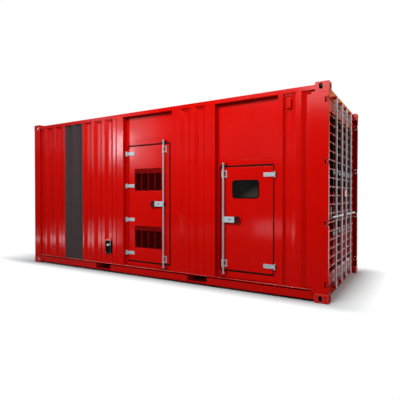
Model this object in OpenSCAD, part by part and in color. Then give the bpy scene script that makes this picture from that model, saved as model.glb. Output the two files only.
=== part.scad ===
// Containerised generator set: a 20 ft high-cube steel enclosure with two recessed service doors
// in one long side and a pair of louvred doors in one end.
// Origin at the middle of the footprint, +X towards the louvred doors, -Y towards the service doors.

/* [Overall size] */
// Length over the corner castings
length = 6058; // [5040:1:7280]
// Width over the corner castings
width = 2438; // [2400:1:2940]
// Height over the corner castings
height = 2896; // [2700:1:3480]

/* [Corner castings] */
// Casting size along the length
cast_x = 178; // [170:1:190]
// Casting size across the width
cast_y = 162; // [150:1:170]
// Casting height
cast_z = 118; // [110:1:130]
// Wall of a casting
cast_wall = 18; // [12:1:24]
// Top or bottom plate of a casting
cast_plate = 28; // [20:1:32]
// Length of the twistlock slot
slot_l = 124; // [100:1:130]
// Width of the twistlock slot
slot_w = 63.5; // [50:0.5:70]
// Middle of the twistlock slot from the end face
slot_from_end = 102.5; // [98:0.5:106]
// Middle of the twistlock slot from the side face
slot_from_side = 89.5; // [86:0.5:92]
// Height of an oval hand hole in a casting's side
hand_hole_h = 79.5; // [60:0.5:80]
// Width of an oval hand hole
hand_hole_w = 51; // [40:0.5:60]

/* [Frame] */
// Side face of the posts at the plain end
front_post_x = 178; // [150:1:200]
// Side face of the posts at the louvred end
door_post_x = 226; // [200:1:260]
// Depth of the posts across the width
post_y = 160; // [120:1:162]
// Steel thickness of posts and pillars
post_wall = 6; // [4:0.5:10]
// How far posts and walls stay inside the castings
set_in = 2; // [1:0.5:6]
// Underside of the bottom side rail above the ground
rail_z = 28; // [12:1:40]
// Height of the bottom side rail
rail_h = 137; // [120:1:170]
// Set-back of the rail's web behind the wall
rail_set_back = 12; // [6:1:30]
// Steel thickness of the rails
rail_t = 6; // [4:0.5:10]
// Width of the rails' flanges
flange_w = 60; // [40:1:80]
// Height of the top side rail
top_rail_h = 68; // [60:1:120]
// Top of the top rail below the castings' tops
top_rail_drop = 26; // [20:1:40]
// Height of the step along the top rail's outer edge
rail_step = 12; // [6:1:20]
// Height of the sill under the louvred doors
sill_h = 113; // [100:1:160]

/* [Fork pockets] */
// Distance between the middles of the fork pockets
pocket_spacing = 2050; // [1800:1:2200]
// Clear width of a fork pocket
pocket_w = 360; // [300:1:400]
// Clear height of a fork pocket
pocket_h = 115; // [90:1:118]

/* [Walls, roof and floor] */
// Steel thickness of the wall and roof sheets
sheet_t = 3; // [1.5:0.5:5]
// Distance between wall corrugations
pitch = 278; // [240:1:300]
// Flat bottom of a corrugation
trough_flat = 72; // [60:1:100]
// Sloping side of a corrugation
trough_slope = 66; // [30:1:66]
// Depth of the wall corrugations
trough_depth = 36; // [20:1:45]
// Height of the slanted end that closes a corrugation
trough_end = 47; // [30:1:60]
// Set-back of that slanted end under the top rail
trough_ledge = 12; // [1:1:20]
// Distance between roof corrugations
roof_pitch = 209; // [180:1:260]
// Depth of the roof corrugations
roof_depth = 18; // [10:1:20]
// Flat margin of the roof sheet beside its corrugations
roof_margin = 120; // [60:1:200]
// Thickness of the floor deck
deck_t = 28; // [18:1:32]
// Distance between the cross members under the floor
member_pitch = 320; // [280:1:420]

/* [Long side layout, from the louvred end] */
// Corrugated panel beside the end post
right_wall_w = 382; // [300:1:500]
// Pillar between that panel and bay 2
pillar_d_w = 74; // [60:1:150]
// Width of door bay 2
bay_2_w = 991; // [980:1:1100]
// Pillar on the other side of bay 2
pillar_c_w = 83; // [60:1:150]
// Corrugated panel between the bays
mid_wall_w = 641; // [560:1:700]
// Pillar between that panel and bay 1
pillar_b_w = 80; // [60:1:150]
// Width of door bay 1
bay_1_w = 1064; // [1045:1:1150]
// Pillar on the far side of bay 1
pillar_a_w = 149; // [80:1:180]
// Set-back of the bays behind the wall
bay_depth = 87; // [70:1:110]

/* [Service door 1, with grilles] */
// Width of the leaf
door_1_w = 905; // [800:1:910]
// Underside of the leaf above the ground
door_1_z = 259; // [250:1:300]
// Height of the leaf
door_1_h = 2019; // [1700:1:2030]
// Edge of bay to leaf, on the hinge side
door_1_jamb = 47; // [44:1:60]
// Height of a ventilation grille
grille_h = 384; // [200:1:500]
// Width of a ventilation grille
grille_w = 594; // [300:1:640]
// Underside of the lower grille
grille_low_z = 492; // [480:1:560]
// Underside of the upper grille
grille_high_z = 1494; // [1480:1:1640]
// Plain strip along the top of a grille
grille_strip = 80; // [20:1:100]
// Lock rod from the free edge of leaf 1
rod_1_in = 100; // [70:1:130]

/* [Service door 2, with a window] */
// Width of the leaf
door_2_w = 839; // [760:1:845]
// Underside of the leaf above the ground
door_2_z = 289; // [250:1:320]
// Height of the leaf
door_2_h = 1549; // [1400:1:1700]
// Edge of bay to leaf, on the hinge side
door_2_jamb = 95; // [44:1:100]
// Width of the window
window_w = 418; // [200:1:460]
// Height of the window
window_h = 256; // [160:1:300]
// Corner radius of the window
window_r = 40; // [10:1:60]
// Middle of the window above the ground
window_z = 1505; // [1400:1:1560]
// Lock rod from the free edge of leaf 2
rod_2_in = 60; // [55:1:120]

/* [Service door gear] */
// Thickness of a leaf
leaf_t = 45; // [40:1:60]
// Gap round a leaf
leaf_gap = 8; // [7:0.5:12]
// Hinge pin in front of the leaf
pin_out = 20; // [18:1:30]
// Hinge pin beside the leaf
pin_side = 28; // [24:1:34]
// Radius of a hinge pin
pin_r = 6; // [4:0.5:8]
// Radius of a hinge knuckle
knuckle_r = 13; // [11:0.5:15]
// Height of a whole hinge
hinge_h = 84; // [70:1:100]
// Lock rod radius
rod_r = 13.5; // [10:0.5:15]
// Lock rod in front of the leaf
rod_out = 35; // [30:1:40]
// How far a lock rod passes the leaf's ends
rod_over = 68; // [60:1:80]
// Running clearance of a rod or pin in its bore
fit_gap = 0.4; // [0.2:0.1:1]
// Handle above the leaf's underside, door 1
handle_1_up = 1011; // [800:1:1100]
// Handle above the leaf's underside, door 2
handle_2_up = 761; // [600:1:900]
// Reach of a handle from its rod, with its grip
handle_reach = 275; // [200:1:320]
// Height of a handle's plate
handle_h = 87; // [60:1:100]
// Height of a handle's grip ring
grip_h = 104; // [80:1:110]
// Width of a handle's grip ring
grip_w = 90; // [70:1:100]

/* [Louvred end doors] */
// Thickness of a leaf
end_leaf_t = 50; // [40:1:60]
// End face of the castings to the leaf
end_leaf_in = 64; // [60:1:80]
// Gap beside an end leaf
end_gap = 12; // [10:0.5:16]
// Gap above and below an end leaf, where its seal sits
seal_gap = 22; // [12:1:26]
// Width of the stile on the hinge side
stile_w = 30; // [24:1:60]
// Width of the stile in the middle of the end
inner_stile_w = 50; // [40:1:80]
// Thickness of the two dividers between the louvres
divider_t = 6; // [4:1:20]
// Outer divider from the middle of the end
divider_outer_y = 609; // [590:1:625]
// Inner divider from the middle of the end
divider_inner_y = 165; // [150:1:200]
// Height of a leaf's top rail
end_rail_top = 161; // [140:1:220]
// Height of a leaf's bottom panel
end_rail_low = 181; // [160:1:260]
// First louvre lip above the bottom panel
first_blade = 72.7; // [10:0.1:100]
// Distance between louvre blades
blade_pitch = 124.3; // [110:0.1:160]
// Depth and rise of a blade's slope
blade_run = 84; // [60:1:90]
// Height of a blade's front lip
blade_lip = 15; // [8:1:20]
// Thickness of a louvre blade
blade_t = 4; // [2:0.5:5]
// Lock rod radius
end_rod_r = 15; // [12:0.5:16]
// Lock rod in front of the leaf
end_rod_out = 36; // [32:1:40]
// Inner lock rods from the middle of the end
rod_inner_y = 183; // [150:1:220]
// Outer lock rods from the middle of the end
rod_outer_y = 596; // [520:1:640]
// Reach of an end door's handle from its rod
end_handle_reach = 320; // [240:1:330]
// Height of an end door's handle bar
end_handle_h = 20; // [16:1:32]
// Catch of a handle from its rod
catch_at = 185; // [150:1:220]
// Width of a handle's catch
catch_w = 24; // [18:1:36]
// Handles above the ground
end_handle_z = 1118; // [1000:1:1300]
// Radius of the hinge pins
end_pin_r = 9; // [7:0.5:10]
// Radius of the hinge knuckles
end_knuckle_r = 18; // [15:0.5:19]
// Hinge pin inside the end face
end_pin_in = 23; // [21:0.5:26]
// Height of a hinge knuckle
end_hinge_h = 60; // [50:1:90]
// Gap above and below a knuckle in its notch
notch_gap = 6; // [5.5:0.5:10]
// Steel thickness of the plate that carries the hinge pins
side_plate_t = 10; // [8:0.5:12]
// Width of that plate's flange across the end
post_flange_w = 57; // [40:1:60]
// Middle of the small lock box above the ground
lock_box_z = 1448; // [1300:1:1600]

/* [Small gear] */
// Width of the emergency stop box
stop_w = 134; // [100:1:160]
// Height of the emergency stop box
stop_h = 230; // [160:1:260]
// Emergency stop box from pillar to its middle
stop_in = 223; // [200:1:260]
// Middle of the emergency stop box above the ground
stop_z = 468; // [400:1:600]
// Width of the small ventilator
vent_w = 62; // [50:1:70]
// Height of the small ventilator
vent_h = 202; // [150:1:240]

/* [Hidden] */
$fn = 48;

x_end = length / 2;
y_side = width / 2;
wall_y = y_side - set_in;
rail_top = rail_z + rail_h;
top_rail_top = height - top_rail_drop;
top_rail_low = top_rail_top - top_rail_h;
wall_h = top_rail_low - rail_top;
floor_z = rail_top - rail_t;
deck_top = floor_z + deck_t;

// Stations along the service side, from the louvred end
right_wall_x1 = x_end - door_post_x;
right_wall_x0 = right_wall_x1 - right_wall_w;
bay_2_x1 = right_wall_x0 - pillar_d_w;
bay_2_x0 = bay_2_x1 - bay_2_w;
mid_wall_x1 = bay_2_x0 - pillar_c_w;
mid_wall_x0 = mid_wall_x1 - mid_wall_w;
bay_1_x1 = mid_wall_x0 - pillar_b_w;
bay_1_x0 = bay_1_x1 - bay_1_w;
left_wall_x1 = bay_1_x0 - pillar_a_w;
left_wall_x0 = front_post_x - x_end;

bay_y = -(wall_y - bay_depth);
pillar_d = bay_depth + leaf_t;
pin_y = bay_y - pin_out;
rod_y = bay_y - rod_out;
pin_1_x = bay_1_x0 + door_1_jamb - pin_side;
pin_2_x = bay_2_x1 - door_2_jamb + pin_side;
door_1_top = door_1_z + door_1_h;
door_2_top = door_2_z + door_2_h;
lintel_h = 95;
frame_1_top = door_1_top + leaf_gap + lintel_h;
frame_2_top = door_2_top + leaf_gap + lintel_h;
strap_l = 172;
strap_h = 58;
strap_t = 6;
hinges_1 = [133, 726, 1324, door_1_h - 123];
hinges_2 = [109, door_2_h - 126];

// Louvred end
end_face_x = x_end - end_leaf_in;
post_in_y = wall_y - post_y;
sill_top = 20 + sill_h;
header_low = height - cast_z;
header_z = header_low - 20;
end_leaf_z0 = sill_top + seal_gap;
end_leaf_z1 = header_z - seal_gap;
end_leaf_y1 = post_in_y - end_gap;
end_leaf_y0 = 8;
end_pin_x = x_end - end_pin_in;
end_pin_y = y_side - end_pin_in;
end_rod_x = end_face_x + end_rod_out;
end_hinges = [for (i = [0:3]) 252 + i * (height - 492) / 3];
notch_h = end_hinge_h + 2 * notch_gap;
keeper_gap = 34;
cam_r = 24;

//---- helpers

// Carries a profile drawn in Y and Z along X
module along_x(x0, x1) {
    translate([x0, 0, 0]) rotate([90, 0, 90]) linear_extrude(x1 - x0) children();
}

module both_sides() {
    children();
    mirror([0, 1, 0]) children();
}

module both_ends() {
    children();
    mirror([1, 0, 0]) children();
}

// Block between two corners
module block(low, high) {
    translate(low) cube(high - low);
}

// Outer line of a corrugated sheet: one trapezium for each trough middle
function troughs(middles, flat, slope, depth) = [
    for (c = middles)
    for (p = [[-flat / 2 - slope, 0], [-flat / 2, depth], [flat / 2, depth], [flat / 2 + slope, 0]])
    [c + p[0], p[1]]
];

// Corrugated sheet along X from 0 to span, outer face at y = 0, troughs towards +Y.
// A slanted face closes each trough at the top.
module corrugated(span, high, middles) {
    line = concat([[-span, 0]], troughs(middles, trough_flat, trough_slope, trough_depth), [[2 * span, 0]]);
    back = [for (i = [len(line) - 1:-1:0]) line[i] + [0, sheet_t]];
    intersection() {
        union() {
            linear_extrude(high) polygon(concat(line, back));
            for (c = middles) intersection() {
                linear_extrude(high)
                    polygon([for (q = troughs([c], trough_flat, trough_slope, trough_depth)) q + [0, 1]]);
                along_x(c - pitch / 2, c + pitch / 2)
                    polygon([[trough_ledge, high], [trough_depth + 1, high - trough_end],
                        [trough_depth + 1, high]]);
            }
        }
        translate([0, -1, 0]) cube([span, trough_depth + sheet_t + 2, high]);
    }
}

// Oval bar standing on Z, long side along X
module oval(long, wide, high) {
    for (s = [-1, 1]) translate([s * (long - wide) / 2, 0, 0]) cylinder(d = wide, h = high);
    translate([-(long - wide) / 2, -wide / 2, 0]) cube([long - wide, wide, high]);
}

//---- steel frame

// Hollow corner casting, its outer corner at the origin, plate with the slot at the bottom
module casting() {
    difference() {
        cube([cast_x, cast_y, cast_z]);
        block([cast_wall, cast_wall, cast_plate],
              [cast_x - cast_wall, cast_y - cast_wall, cast_z - cast_wall]);
        translate([slot_from_end, slot_from_side, -1]) oval(slot_l, slot_w, cast_plate + 2);
        translate([slot_from_end, -1, cast_z / 2]) rotate([-90, 90, 0])
            oval(hand_hole_h, hand_hole_w, cast_wall + 2);
        translate([-1, slot_from_side, cast_z / 2]) rotate([0, 90, 0])
            oval(hand_hole_h, hand_hole_w, cast_wall + 2);
    }
}

module four_castings() {
    both_ends() both_sides() translate([-x_end, -y_side, 0]) casting();
}

module corner_castings_bottom() {
    color("firebrick") four_castings();
}

module corner_castings_top() {
    color("firebrick") translate([0, 0, height]) mirror([0, 0, 1]) four_castings();
}

module front_end_posts() {
    color("firebrick") both_sides() difference() {
        block([set_in - x_end, -wall_y, cast_z], [left_wall_x0, post_y - wall_y, header_low]);
        block([set_in - x_end + post_wall, post_wall - wall_y, cast_z - 1],
              [left_wall_x0 - post_wall, post_y - wall_y - post_wall, header_low + 1]);
    }
}

// Door posts: a box section behind, in front of it a flanged plate with a notch, two ears and a
// pin for each hinge
module door_end_posts() {
    front_x = end_face_x - 7;
    notch_x = end_face_x + 13;
    ear_t = 10;
    plate_y = side_plate_t - wall_y;
    flange_y = post_flange_w - wall_y;
    color("firebrick") both_sides() {
        difference() {
            union() {
                block([right_wall_x1, -wall_y, cast_z], [front_x, post_y - wall_y, header_low]);
                block([front_x - 1, -wall_y, cast_z], [x_end - set_in, plate_y, header_low]);
                block([x_end - set_in - side_plate_t, -wall_y, cast_z],
                      [x_end - set_in, flange_y, header_low]);
            }
            block([right_wall_x1 + post_wall, post_wall - wall_y, cast_z - 1],
                  [front_x - post_wall, post_y - wall_y - post_wall, header_low + 1]);
            for (z = end_hinges)
                block([notch_x, -y_side, z - notch_h / 2], [x_end, flange_y + 1, z + notch_h / 2]);
        }
        for (z = end_hinges) {
            for (s = [-1, 1]) translate([end_pin_x, 0, z + s * (notch_h + ear_t) / 2])
                block([-end_knuckle_r, plate_y - 1, -ear_t / 2],
                      [end_knuckle_r, 16 - end_pin_y, ear_t / 2]);
            translate([end_pin_x, -end_pin_y, z])
                cylinder(r = end_pin_r, h = notch_h + 2 * ear_t, center = true);
        }
    }
}

module bottom_side_rails() {
    web = set_in + rail_set_back;
    color("firebrick") both_sides() difference() {
        along_x(cast_x - x_end, x_end - cast_x) translate([-y_side, 0]) polygon([
            [web, rail_z], [flange_w, rail_z], [flange_w, rail_z + rail_t], [web + rail_t, rail_z + rail_t],
            [web + rail_t, floor_z], [flange_w, floor_z], [flange_w, rail_top], [set_in, rail_top],
            [set_in, floor_z], [web, floor_z]
        ]);
        for (s = [-1, 1])
            block([s * pocket_spacing / 2 - pocket_w / 2, -y_side, floor_z - 4 - pocket_h],
                  [s * pocket_spacing / 2 + pocket_w / 2, -y_side + web + rail_t + 1, floor_z - 4]);
        block([right_wall_x1, -y_side, cast_z], [x_end, post_y - wall_y, rail_top + 1]);
    }
}

// Box section with a low step along its outer top edge, beside the roof sheet
module top_side_rails() {
    wall = 4;
    deep = 66;
    step = 24;
    color("firebrick") both_sides() along_x(cast_x - x_end, x_end - cast_x) difference() {
        union() {
            translate([-wall_y, top_rail_low]) square([deep, top_rail_h - rail_step]);
            translate([step - wall_y, top_rail_low]) square([deep - step, top_rail_h]);
        }
        translate([wall - wall_y, top_rail_low + wall])
            square([deep - 2 * wall, top_rail_h - rail_step - 2 * wall]);
    }
}

// Cross rails between the castings of the plain end
module front_end_rails() {
    wall = 4;
    deep = 60;
    span = y_side - cast_y;
    color("firebrick") for (z = [[rail_z, rail_top], [top_rail_low, top_rail_top]]) difference() {
        block([set_in - x_end, -span, z[0]], [set_in - x_end + deep, span, z[1]]);
        block([set_in - x_end + wall, -span - 1, z[0] + wall],
              [set_in - x_end + deep - wall, span + 1, z[1] - wall]);
    }
}

// Cross beam of the louvred end, a box section flush with the leaves
module end_beam(z0, z1) {
    wall = 6;
    deep = 112;
    span = y_side - cast_y;
    difference() {
        block([end_face_x - deep, -span, z0], [end_face_x, span, z1]);
        block([end_face_x - deep + wall, -span - 1, z0 + wall],
              [end_face_x - wall, span + 1, z1 - wall]);
    }
}

module door_sill() {
    color("firebrick") end_beam(20, sill_top);
}

module door_header() {
    color("firebrick") end_beam(header_z, height - 6);
}

// Fork pockets right through, and C-shaped cross members between them
module underframe() {
    web = set_in + rail_set_back + rail_t;
    low = rail_z + rail_t;
    span = y_side - web;
    clear_z = floor_z - 4 - pocket_h;
    first = -x_end + cast_x + 60;
    count = floor((length - 2 * cast_x - 120) / member_pitch);
    color("firebrick") {
        for (s = [-1, 1]) translate([s * pocket_spacing / 2, 0, 0]) difference() {
            block([-pocket_w / 2 - 6, -span, low], [pocket_w / 2 + 6, span, floor_z]);
            block([-pocket_w / 2, -span - 1, clear_z], [pocket_w / 2, span + 1, clear_z + pocket_h]);
        }
        for (i = [0:count]) {
            x = first + i * member_pitch;
            if (abs(abs(x) - pocket_spacing / 2) > pocket_w / 2 + 60)
                translate([x, span, 0]) rotate([90, 0, 0]) linear_extrude(2 * span) polygon([
                    [0, low], [45, low], [45, low + 4], [4, low + 4],
                    [4, floor_z - 4], [45, floor_z - 4], [45, floor_z], [0, floor_z]
                ]);
        }
    }
}

module floor_deck() {
    between = y_side - flange_w - 1;
    color("dimgray") difference() {
        union() {
            block([left_wall_x0 + 1, -between, floor_z], [right_wall_x1 - 1, between, deck_top]);
            block([set_in - x_end + 60 + trough_depth, 6 - post_in_y, floor_z],
                  [end_face_x - 112 - 1, post_in_y - 6, deck_top]);
        }
        // notches behind the two door bays
        for (x = [[left_wall_x1, mid_wall_x0], [mid_wall_x1, right_wall_x0]])
            block([x[0] - 1, -y_side, floor_z - 1], [x[1] + 1, pillar_d - wall_y, deck_top + 1]);
    }
}

// Roof sheet with pressed ridges across it, open below and closed at their ends
module roof_panel() {
    main = x_end - cast_x;
    edge = y_side - 58;
    ridge_y = edge - roof_margin;
    count = floor((2 * main - 80) / roof_pitch);
    flat = roof_pitch / 4 - 15;
    first = -(count - 1) * roof_pitch / 2;
    color("firebrick") difference() {
        union() {
            block([-main, -edge, top_rail_top], [main, edge, top_rail_top + sheet_t]);
            for (s = [-1, 1])
                block([s > 0 ? main - 1 : 4 - x_end, cast_y + 2 - y_side, top_rail_top],
                      [s > 0 ? end_face_x - 112 : 1 - main, y_side - cast_y - 2, top_rail_top + sheet_t]);
            for (i = [0:count - 1])
                roof_ridge(first + i * roof_pitch, flat, sheet_t + roof_depth, ridge_y);
        }
        for (i = [0:count - 1])
            roof_ridge(first + i * roof_pitch, flat - 2, roof_depth, ridge_y - 4, -1);
    }
}

// One ridge: a trapezium across the roof
module roof_ridge(x, flat, high, reach, low = 0) {
    foot = flat + 26 - low;
    translate([x, reach, top_rail_top]) rotate([90, 0, 0]) linear_extrude(2 * reach)
        polygon([[-foot, low], [-flat, high], [flat, high], [foot, low]]);
}

//---- walls

module front_end_wall() {
    span = 2 * post_in_y;
    count = floor((span - trough_flat) / pitch);
    first = (span - (count - 1) * pitch) / 2;
    color("firebrick") translate([set_in + 4 - x_end, post_in_y, rail_top]) rotate([0, 0, -90])
        corrugated(span, wall_h, [for (i = [0:count - 1]) first + i * pitch]);
}

module back_wall() {
    span = right_wall_x1 - left_wall_x0;
    count = floor((span - trough_flat) / pitch);
    first = (span - (count - 1) * pitch) / 2;
    color("firebrick") translate([right_wall_x1, wall_y, rail_top]) rotate([0, 0, 180])
        corrugated(span, wall_h, [for (i = [0:count - 1]) first + i * pitch]);
}

module side_wall_left() {
    span = left_wall_x1 - left_wall_x0;
    last = span - 204;
    count = ceil(span / pitch);
    color("firebrick") difference() {
        translate([left_wall_x0, -wall_y, rail_top])
            corrugated(span, wall_h, [for (i = [count - 1:-1:-1]) last - i * pitch]);
        block([left_wall_x1 - stop_in - stop_w / 2, -y_side, stop_z - stop_h / 2],
              [left_wall_x1 - stop_in + stop_w / 2, -y_side + 60, stop_z + stop_h / 2]);
    }
}

module side_wall_middle() {
    color("firebrick") translate([mid_wall_x0, -wall_y, rail_top])
        corrugated(mid_wall_w, wall_h, [178, 178 + pitch]);
}

module side_wall_right() {
    color("firebrick") translate([right_wall_x0, -wall_y, rail_top])
        corrugated(right_wall_w, wall_h, [71, 71 + pitch]);
}

module bay_pillars() {
    wall = 4;
    color("firebrick")
    for (p = [[left_wall_x1, bay_1_x0], [bay_1_x1, mid_wall_x0], [mid_wall_x1, bay_2_x0],
              [bay_2_x1, right_wall_x0]])
        difference() {
            block([p[0], -wall_y, rail_top], [p[1], pillar_d - wall_y, top_rail_low]);
            block([p[0] + wall, wall - wall_y, rail_top - 1],
                  [p[1] - wall, pillar_d - wall_y - wall, top_rail_low + 1]);
        }
}

// Frame of a door bay with the doorway cut through
module bay_frame(x0, x1, top, low_corner, high_corner) {
    difference() {
        block([x0, bay_y, rail_top], [x1, bay_y + leaf_t, top]);
        block([low_corner[0] - leaf_gap, bay_y - 1, low_corner[1] - leaf_gap],
              [high_corner[0] + leaf_gap, bay_y + leaf_t + 1, high_corner[1] + leaf_gap]);
    }
}

// Folded tray that closes a bay above its door frame
module upper_panel(x0, x1, low) {
    difference() {
        block([x0, bay_y, low], [x1, bay_y + leaf_t, top_rail_low]);
        block([x0 + sheet_t, bay_y + sheet_t, low + sheet_t],
              [x1 - sheet_t, bay_y + leaf_t + 1, top_rail_low - sheet_t]);
    }
}

module bay_1_frame() {
    x = bay_1_x0 + door_1_jamb;
    color("firebrick")
        bay_frame(bay_1_x0, bay_1_x1, frame_1_top, [x, door_1_z], [x + door_1_w, door_1_top]);
}

module bay_1_upper_panel() {
    color("firebrick") upper_panel(bay_1_x0, bay_1_x1, frame_1_top);
}

module bay_2_frame() {
    x = bay_2_x1 - door_2_jamb;
    color("firebrick")
        bay_frame(bay_2_x0, bay_2_x1, frame_2_top, [x - door_2_w, door_2_z], [x, door_2_top]);
}

module bay_2_upper_panel() {
    color("firebrick") upper_panel(bay_2_x0, bay_2_x1, frame_2_top);
}

//---- service doors, each drawn from its hinge pin with the leaf towards +X

module at_pin_1() {
    translate([pin_1_x, pin_y, door_1_z]) children();
}

module at_pin_2() {
    translate([pin_2_x, pin_y, door_2_z]) mirror([1, 0, 0]) children();
}

module leaf(wide, high) {
    block([pin_side, pin_out, 0], [pin_side + wide, pin_out + leaf_t, high]);
}

// Frame side of a hinge: two knuckles on a pad, joined by the pin
module hinge_lug(z) {
    half = hinge_h / 2;
    lug = 21;
    translate([0, 0, z]) {
        cylinder(r = pin_r, h = hinge_h - 4, center = true);
        for (s = [-1, 1]) translate([0, 0, s * (half - lug / 2)]) {
            cylinder(r = knuckle_r, h = lug, center = true);
            translate([-knuckle_r, 0, -lug / 2]) cube([2 * knuckle_r, pin_out, lug]);
        }
    }
}

// Leaf side of a hinge: knuckle, cranked arm and strap
module strap(z) {
    high = hinge_h - 44;
    translate([0, 0, z]) difference() {
        union() {
            cylinder(r = knuckle_r, h = high, center = true);
            translate([0, 4, -high / 2]) cube([pin_side + 8, 10, high]);
            translate([pin_side + 3, pin_out - strap_t - 2, -strap_h / 2])
                cube([strap_l - pin_side - 3, strap_t + 2, strap_h]);
        }
        cylinder(r = pin_r + fit_gap, h = high + 2, center = true);
    }
}

// Rod bracket on a leaf face: a pad with a window, and collars with the rod's bore
module rod_guide(x, face_y, rod_at, radius, z, wide, high, window = true) {
    collar = window ? 16 : high / 2;
    translate([x, 0, z]) difference() {
        union() {
            translate([-wide / 2, face_y - 6, -high / 2]) cube([wide, 6, high]);
            for (s = window ? [-1, 1] : [0]) translate([0, rod_at, s * (high - collar) / 2]) {
                translate([-radius - 6, 0, -collar / 2])
                    cube([2 * radius + 12, face_y - rod_at - 1, collar]);
                cylinder(r = radius + 6, h = collar, center = true);
            }
        }
        if (window)
            translate([-wide / 2 + 16, face_y - 7, -high / 2 + 22]) cube([wide - 32, 8, high - 44]);
        translate([0, rod_at, 0]) cylinder(r = radius + fit_gap, h = high + 2, center = true);
    }
}

// Lock rod with a cam at each end
module cam_rod(z0, z1, radius) {
    translate([0, 0, z0]) cylinder(r = radius, h = z1 - z0);
    for (z = [z0, z1 - 30]) translate([0, 0, z]) {
        cylinder(r = radius + 4, h = 30);
        translate([-6, -cam_r, 0]) cube([12, cam_r, 30]);
    }
}

// Plate handle towards -X with a grip ring at its end and a stop block behind the rod
module plate_handle(radius) {
    plate_l = handle_reach - grip_w + 12;
    cylinder(r = radius + 5, h = handle_h * 0.7, center = true);
    translate([radius - 2, -8, -38]) cube([16, 16, 76]);
    difference() {
        translate([-plate_l, -4, -handle_h / 2]) cube([plate_l - radius, 8, handle_h]);
        for (x = [0.45, 0.7])
            translate([-plate_l * x, -5, 4]) rotate([-90, 0, 0]) cylinder(d = 14, h = 10);
    }
    translate([grip_w / 2 - handle_reach, 6, 0]) rotate([90, 90, 0]) difference() {
        oval(grip_h, grip_w, 12);
        translate([0, 0, -1]) oval(grip_h - 42, grip_w - 42, 14);
    }
}

// Bar handle towards -X, carried in front of its rod by a hub
module bar_handle(radius) {
    front = radius + 9;
    cylinder(r = radius + 6, h = 60, center = true);
    block([-radius - 8, -front + 2, -26], [radius + 8, 0, 26]);
    block([-end_handle_reach, -front, -end_handle_h / 2], [radius + 8, 1 - radius, end_handle_h / 2]);
}

rod_1_local = pin_side + door_1_w - rod_1_in;
rod_2_local = pin_side + door_2_w - rod_2_in;
rod_local_y = pin_out - rod_out;

module service_hinge_lugs() {
    color("silver") {
        at_pin_1() for (z = hinges_1) hinge_lug(z);
        at_pin_2() for (z = hinges_2) hinge_lug(z);
    }
}

// Two cheeks beside a cam, open in front
module keeper(deep, side = keeper_gap) {
    for (s = [-1, 1]) translate([s > 0 ? side : -side - 12, -deep, 0]) cube([12, deep, 34]);
    translate([-side - 12, -6, 0]) cube([2 * side + 24, 6, 34]);
}

module cam_keepers() {
    beyond = rod_over - 32;
    color("firebrick") {
        for (z = [-beyond - 34, door_1_h + beyond])
            at_pin_1() translate([rod_1_local, pin_out, z]) keeper(rod_out + 12);
        for (z = [-beyond - 34, door_2_h + beyond])
            at_pin_2() translate([rod_2_local, pin_out, z]) keeper(rod_out + 12);
        for (s = [-1, 1]) for (y = [rod_inner_y, rod_outer_y]) for (z = [end_rod_low, end_rod_high - 32])
            translate([end_face_x, s * y, z]) rotate([0, 0, 90]) keeper(end_rod_out + 10);
    }
}

module service_door_1_leaf() {
    color("firebrick") at_pin_1() difference() {
        leaf(door_1_w, door_1_h);
        for (z = [grille_low_z, grille_high_z])
            translate([pin_side + 150, pin_out - 1, z - door_1_z]) cube([grille_w, leaf_t + 2, grille_h]);
    }
}

// Slatted grille with three mullions and a plain strip along its top
module grille() {
    rim = 8;
    set_back = 10;
    slat_pitch = 29;
    open_h = grille_h - grille_strip - rim;
    count = floor(open_h / slat_pitch);
    translate([0, set_back, 0]) {
        difference() {
            cube([grille_w, leaf_t - set_back - 4, grille_h]);
            translate([rim, -1, rim]) cube([grille_w - 2 * rim, leaf_t, open_h]);
        }
        for (i = [0:count - 1]) translate([rim - 1, 10, rim + 4 + i * slat_pitch])
            rotate([-45, 0, 0]) cube([grille_w - 2 * rim + 2, 2.5, 26]);
        for (i = [1:3]) translate([i * grille_w / 4 - 9, 0, rim - 1]) cube([18, 12, open_h + 2]);
    }
}

module service_door_1_grilles() {
    color("maroon") at_pin_1() for (z = [grille_low_z, grille_high_z])
        translate([pin_side + 150, pin_out, z - door_1_z]) grille();
}

module service_door_1_fittings() {
    color("silver") at_pin_1() {
        for (z = hinges_1) strap(z);
        for (z = [76, door_1_h - 87])
            rod_guide(rod_1_local, pin_out, rod_local_y, rod_r, z, 85, 110);
    }
}

module service_door_1_lock_rod() {
    color("silver") at_pin_1() translate([rod_1_local, rod_local_y, 0]) {
        cam_rod(-rod_over, door_1_h + rod_over, rod_r);
        translate([0, 0, handle_1_up]) plate_handle(rod_r);
    }
}

module window_hole(grow, deep) {
    r = window_r + grow;
    w = window_w + 2 * grow;
    h = window_h + 2 * grow;
    rotate([-90, 0, 0]) {
        for (x = [-1, 1]) for (z = [-1, 1])
            translate([x * (w / 2 - r), z * (h / 2 - r), 0]) cylinder(r = r, h = deep);
        translate([-w / 2 + r, -h / 2, 0]) cube([w - 2 * r, h, deep]);
        translate([-w / 2, -h / 2 + r, 0]) cube([w, h - 2 * r, deep]);
    }
}

module service_door_2_leaf() {
    color("firebrick") at_pin_2() difference() {
        leaf(door_2_w, door_2_h);
        translate([pin_side + door_2_w / 2 + 10, pin_out - 1, window_z - door_2_z])
            window_hole(0, leaf_t + 2);
    }
}

module service_door_2_window() {
    color("black") at_pin_2() translate([pin_side + door_2_w / 2 + 10, pin_out + 3, window_z - door_2_z])
        window_hole(0, 6);
}

module service_door_2_fittings() {
    color("silver") at_pin_2() {
        for (z = hinges_2) strap(z);
        for (z = [93, door_2_h - 101])
            rod_guide(rod_2_local, pin_out, rod_local_y, rod_r, z, 88, 110);
    }
}

module service_door_2_lock_rod() {
    color("silver") at_pin_2() translate([rod_2_local, rod_local_y, 0]) {
        cam_rod(-rod_over, door_2_h + rod_over, rod_r);
        translate([0, 0, handle_2_up]) plate_handle(rod_r);
    }
}

//---- louvred end doors, drawn on the -Y side

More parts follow.
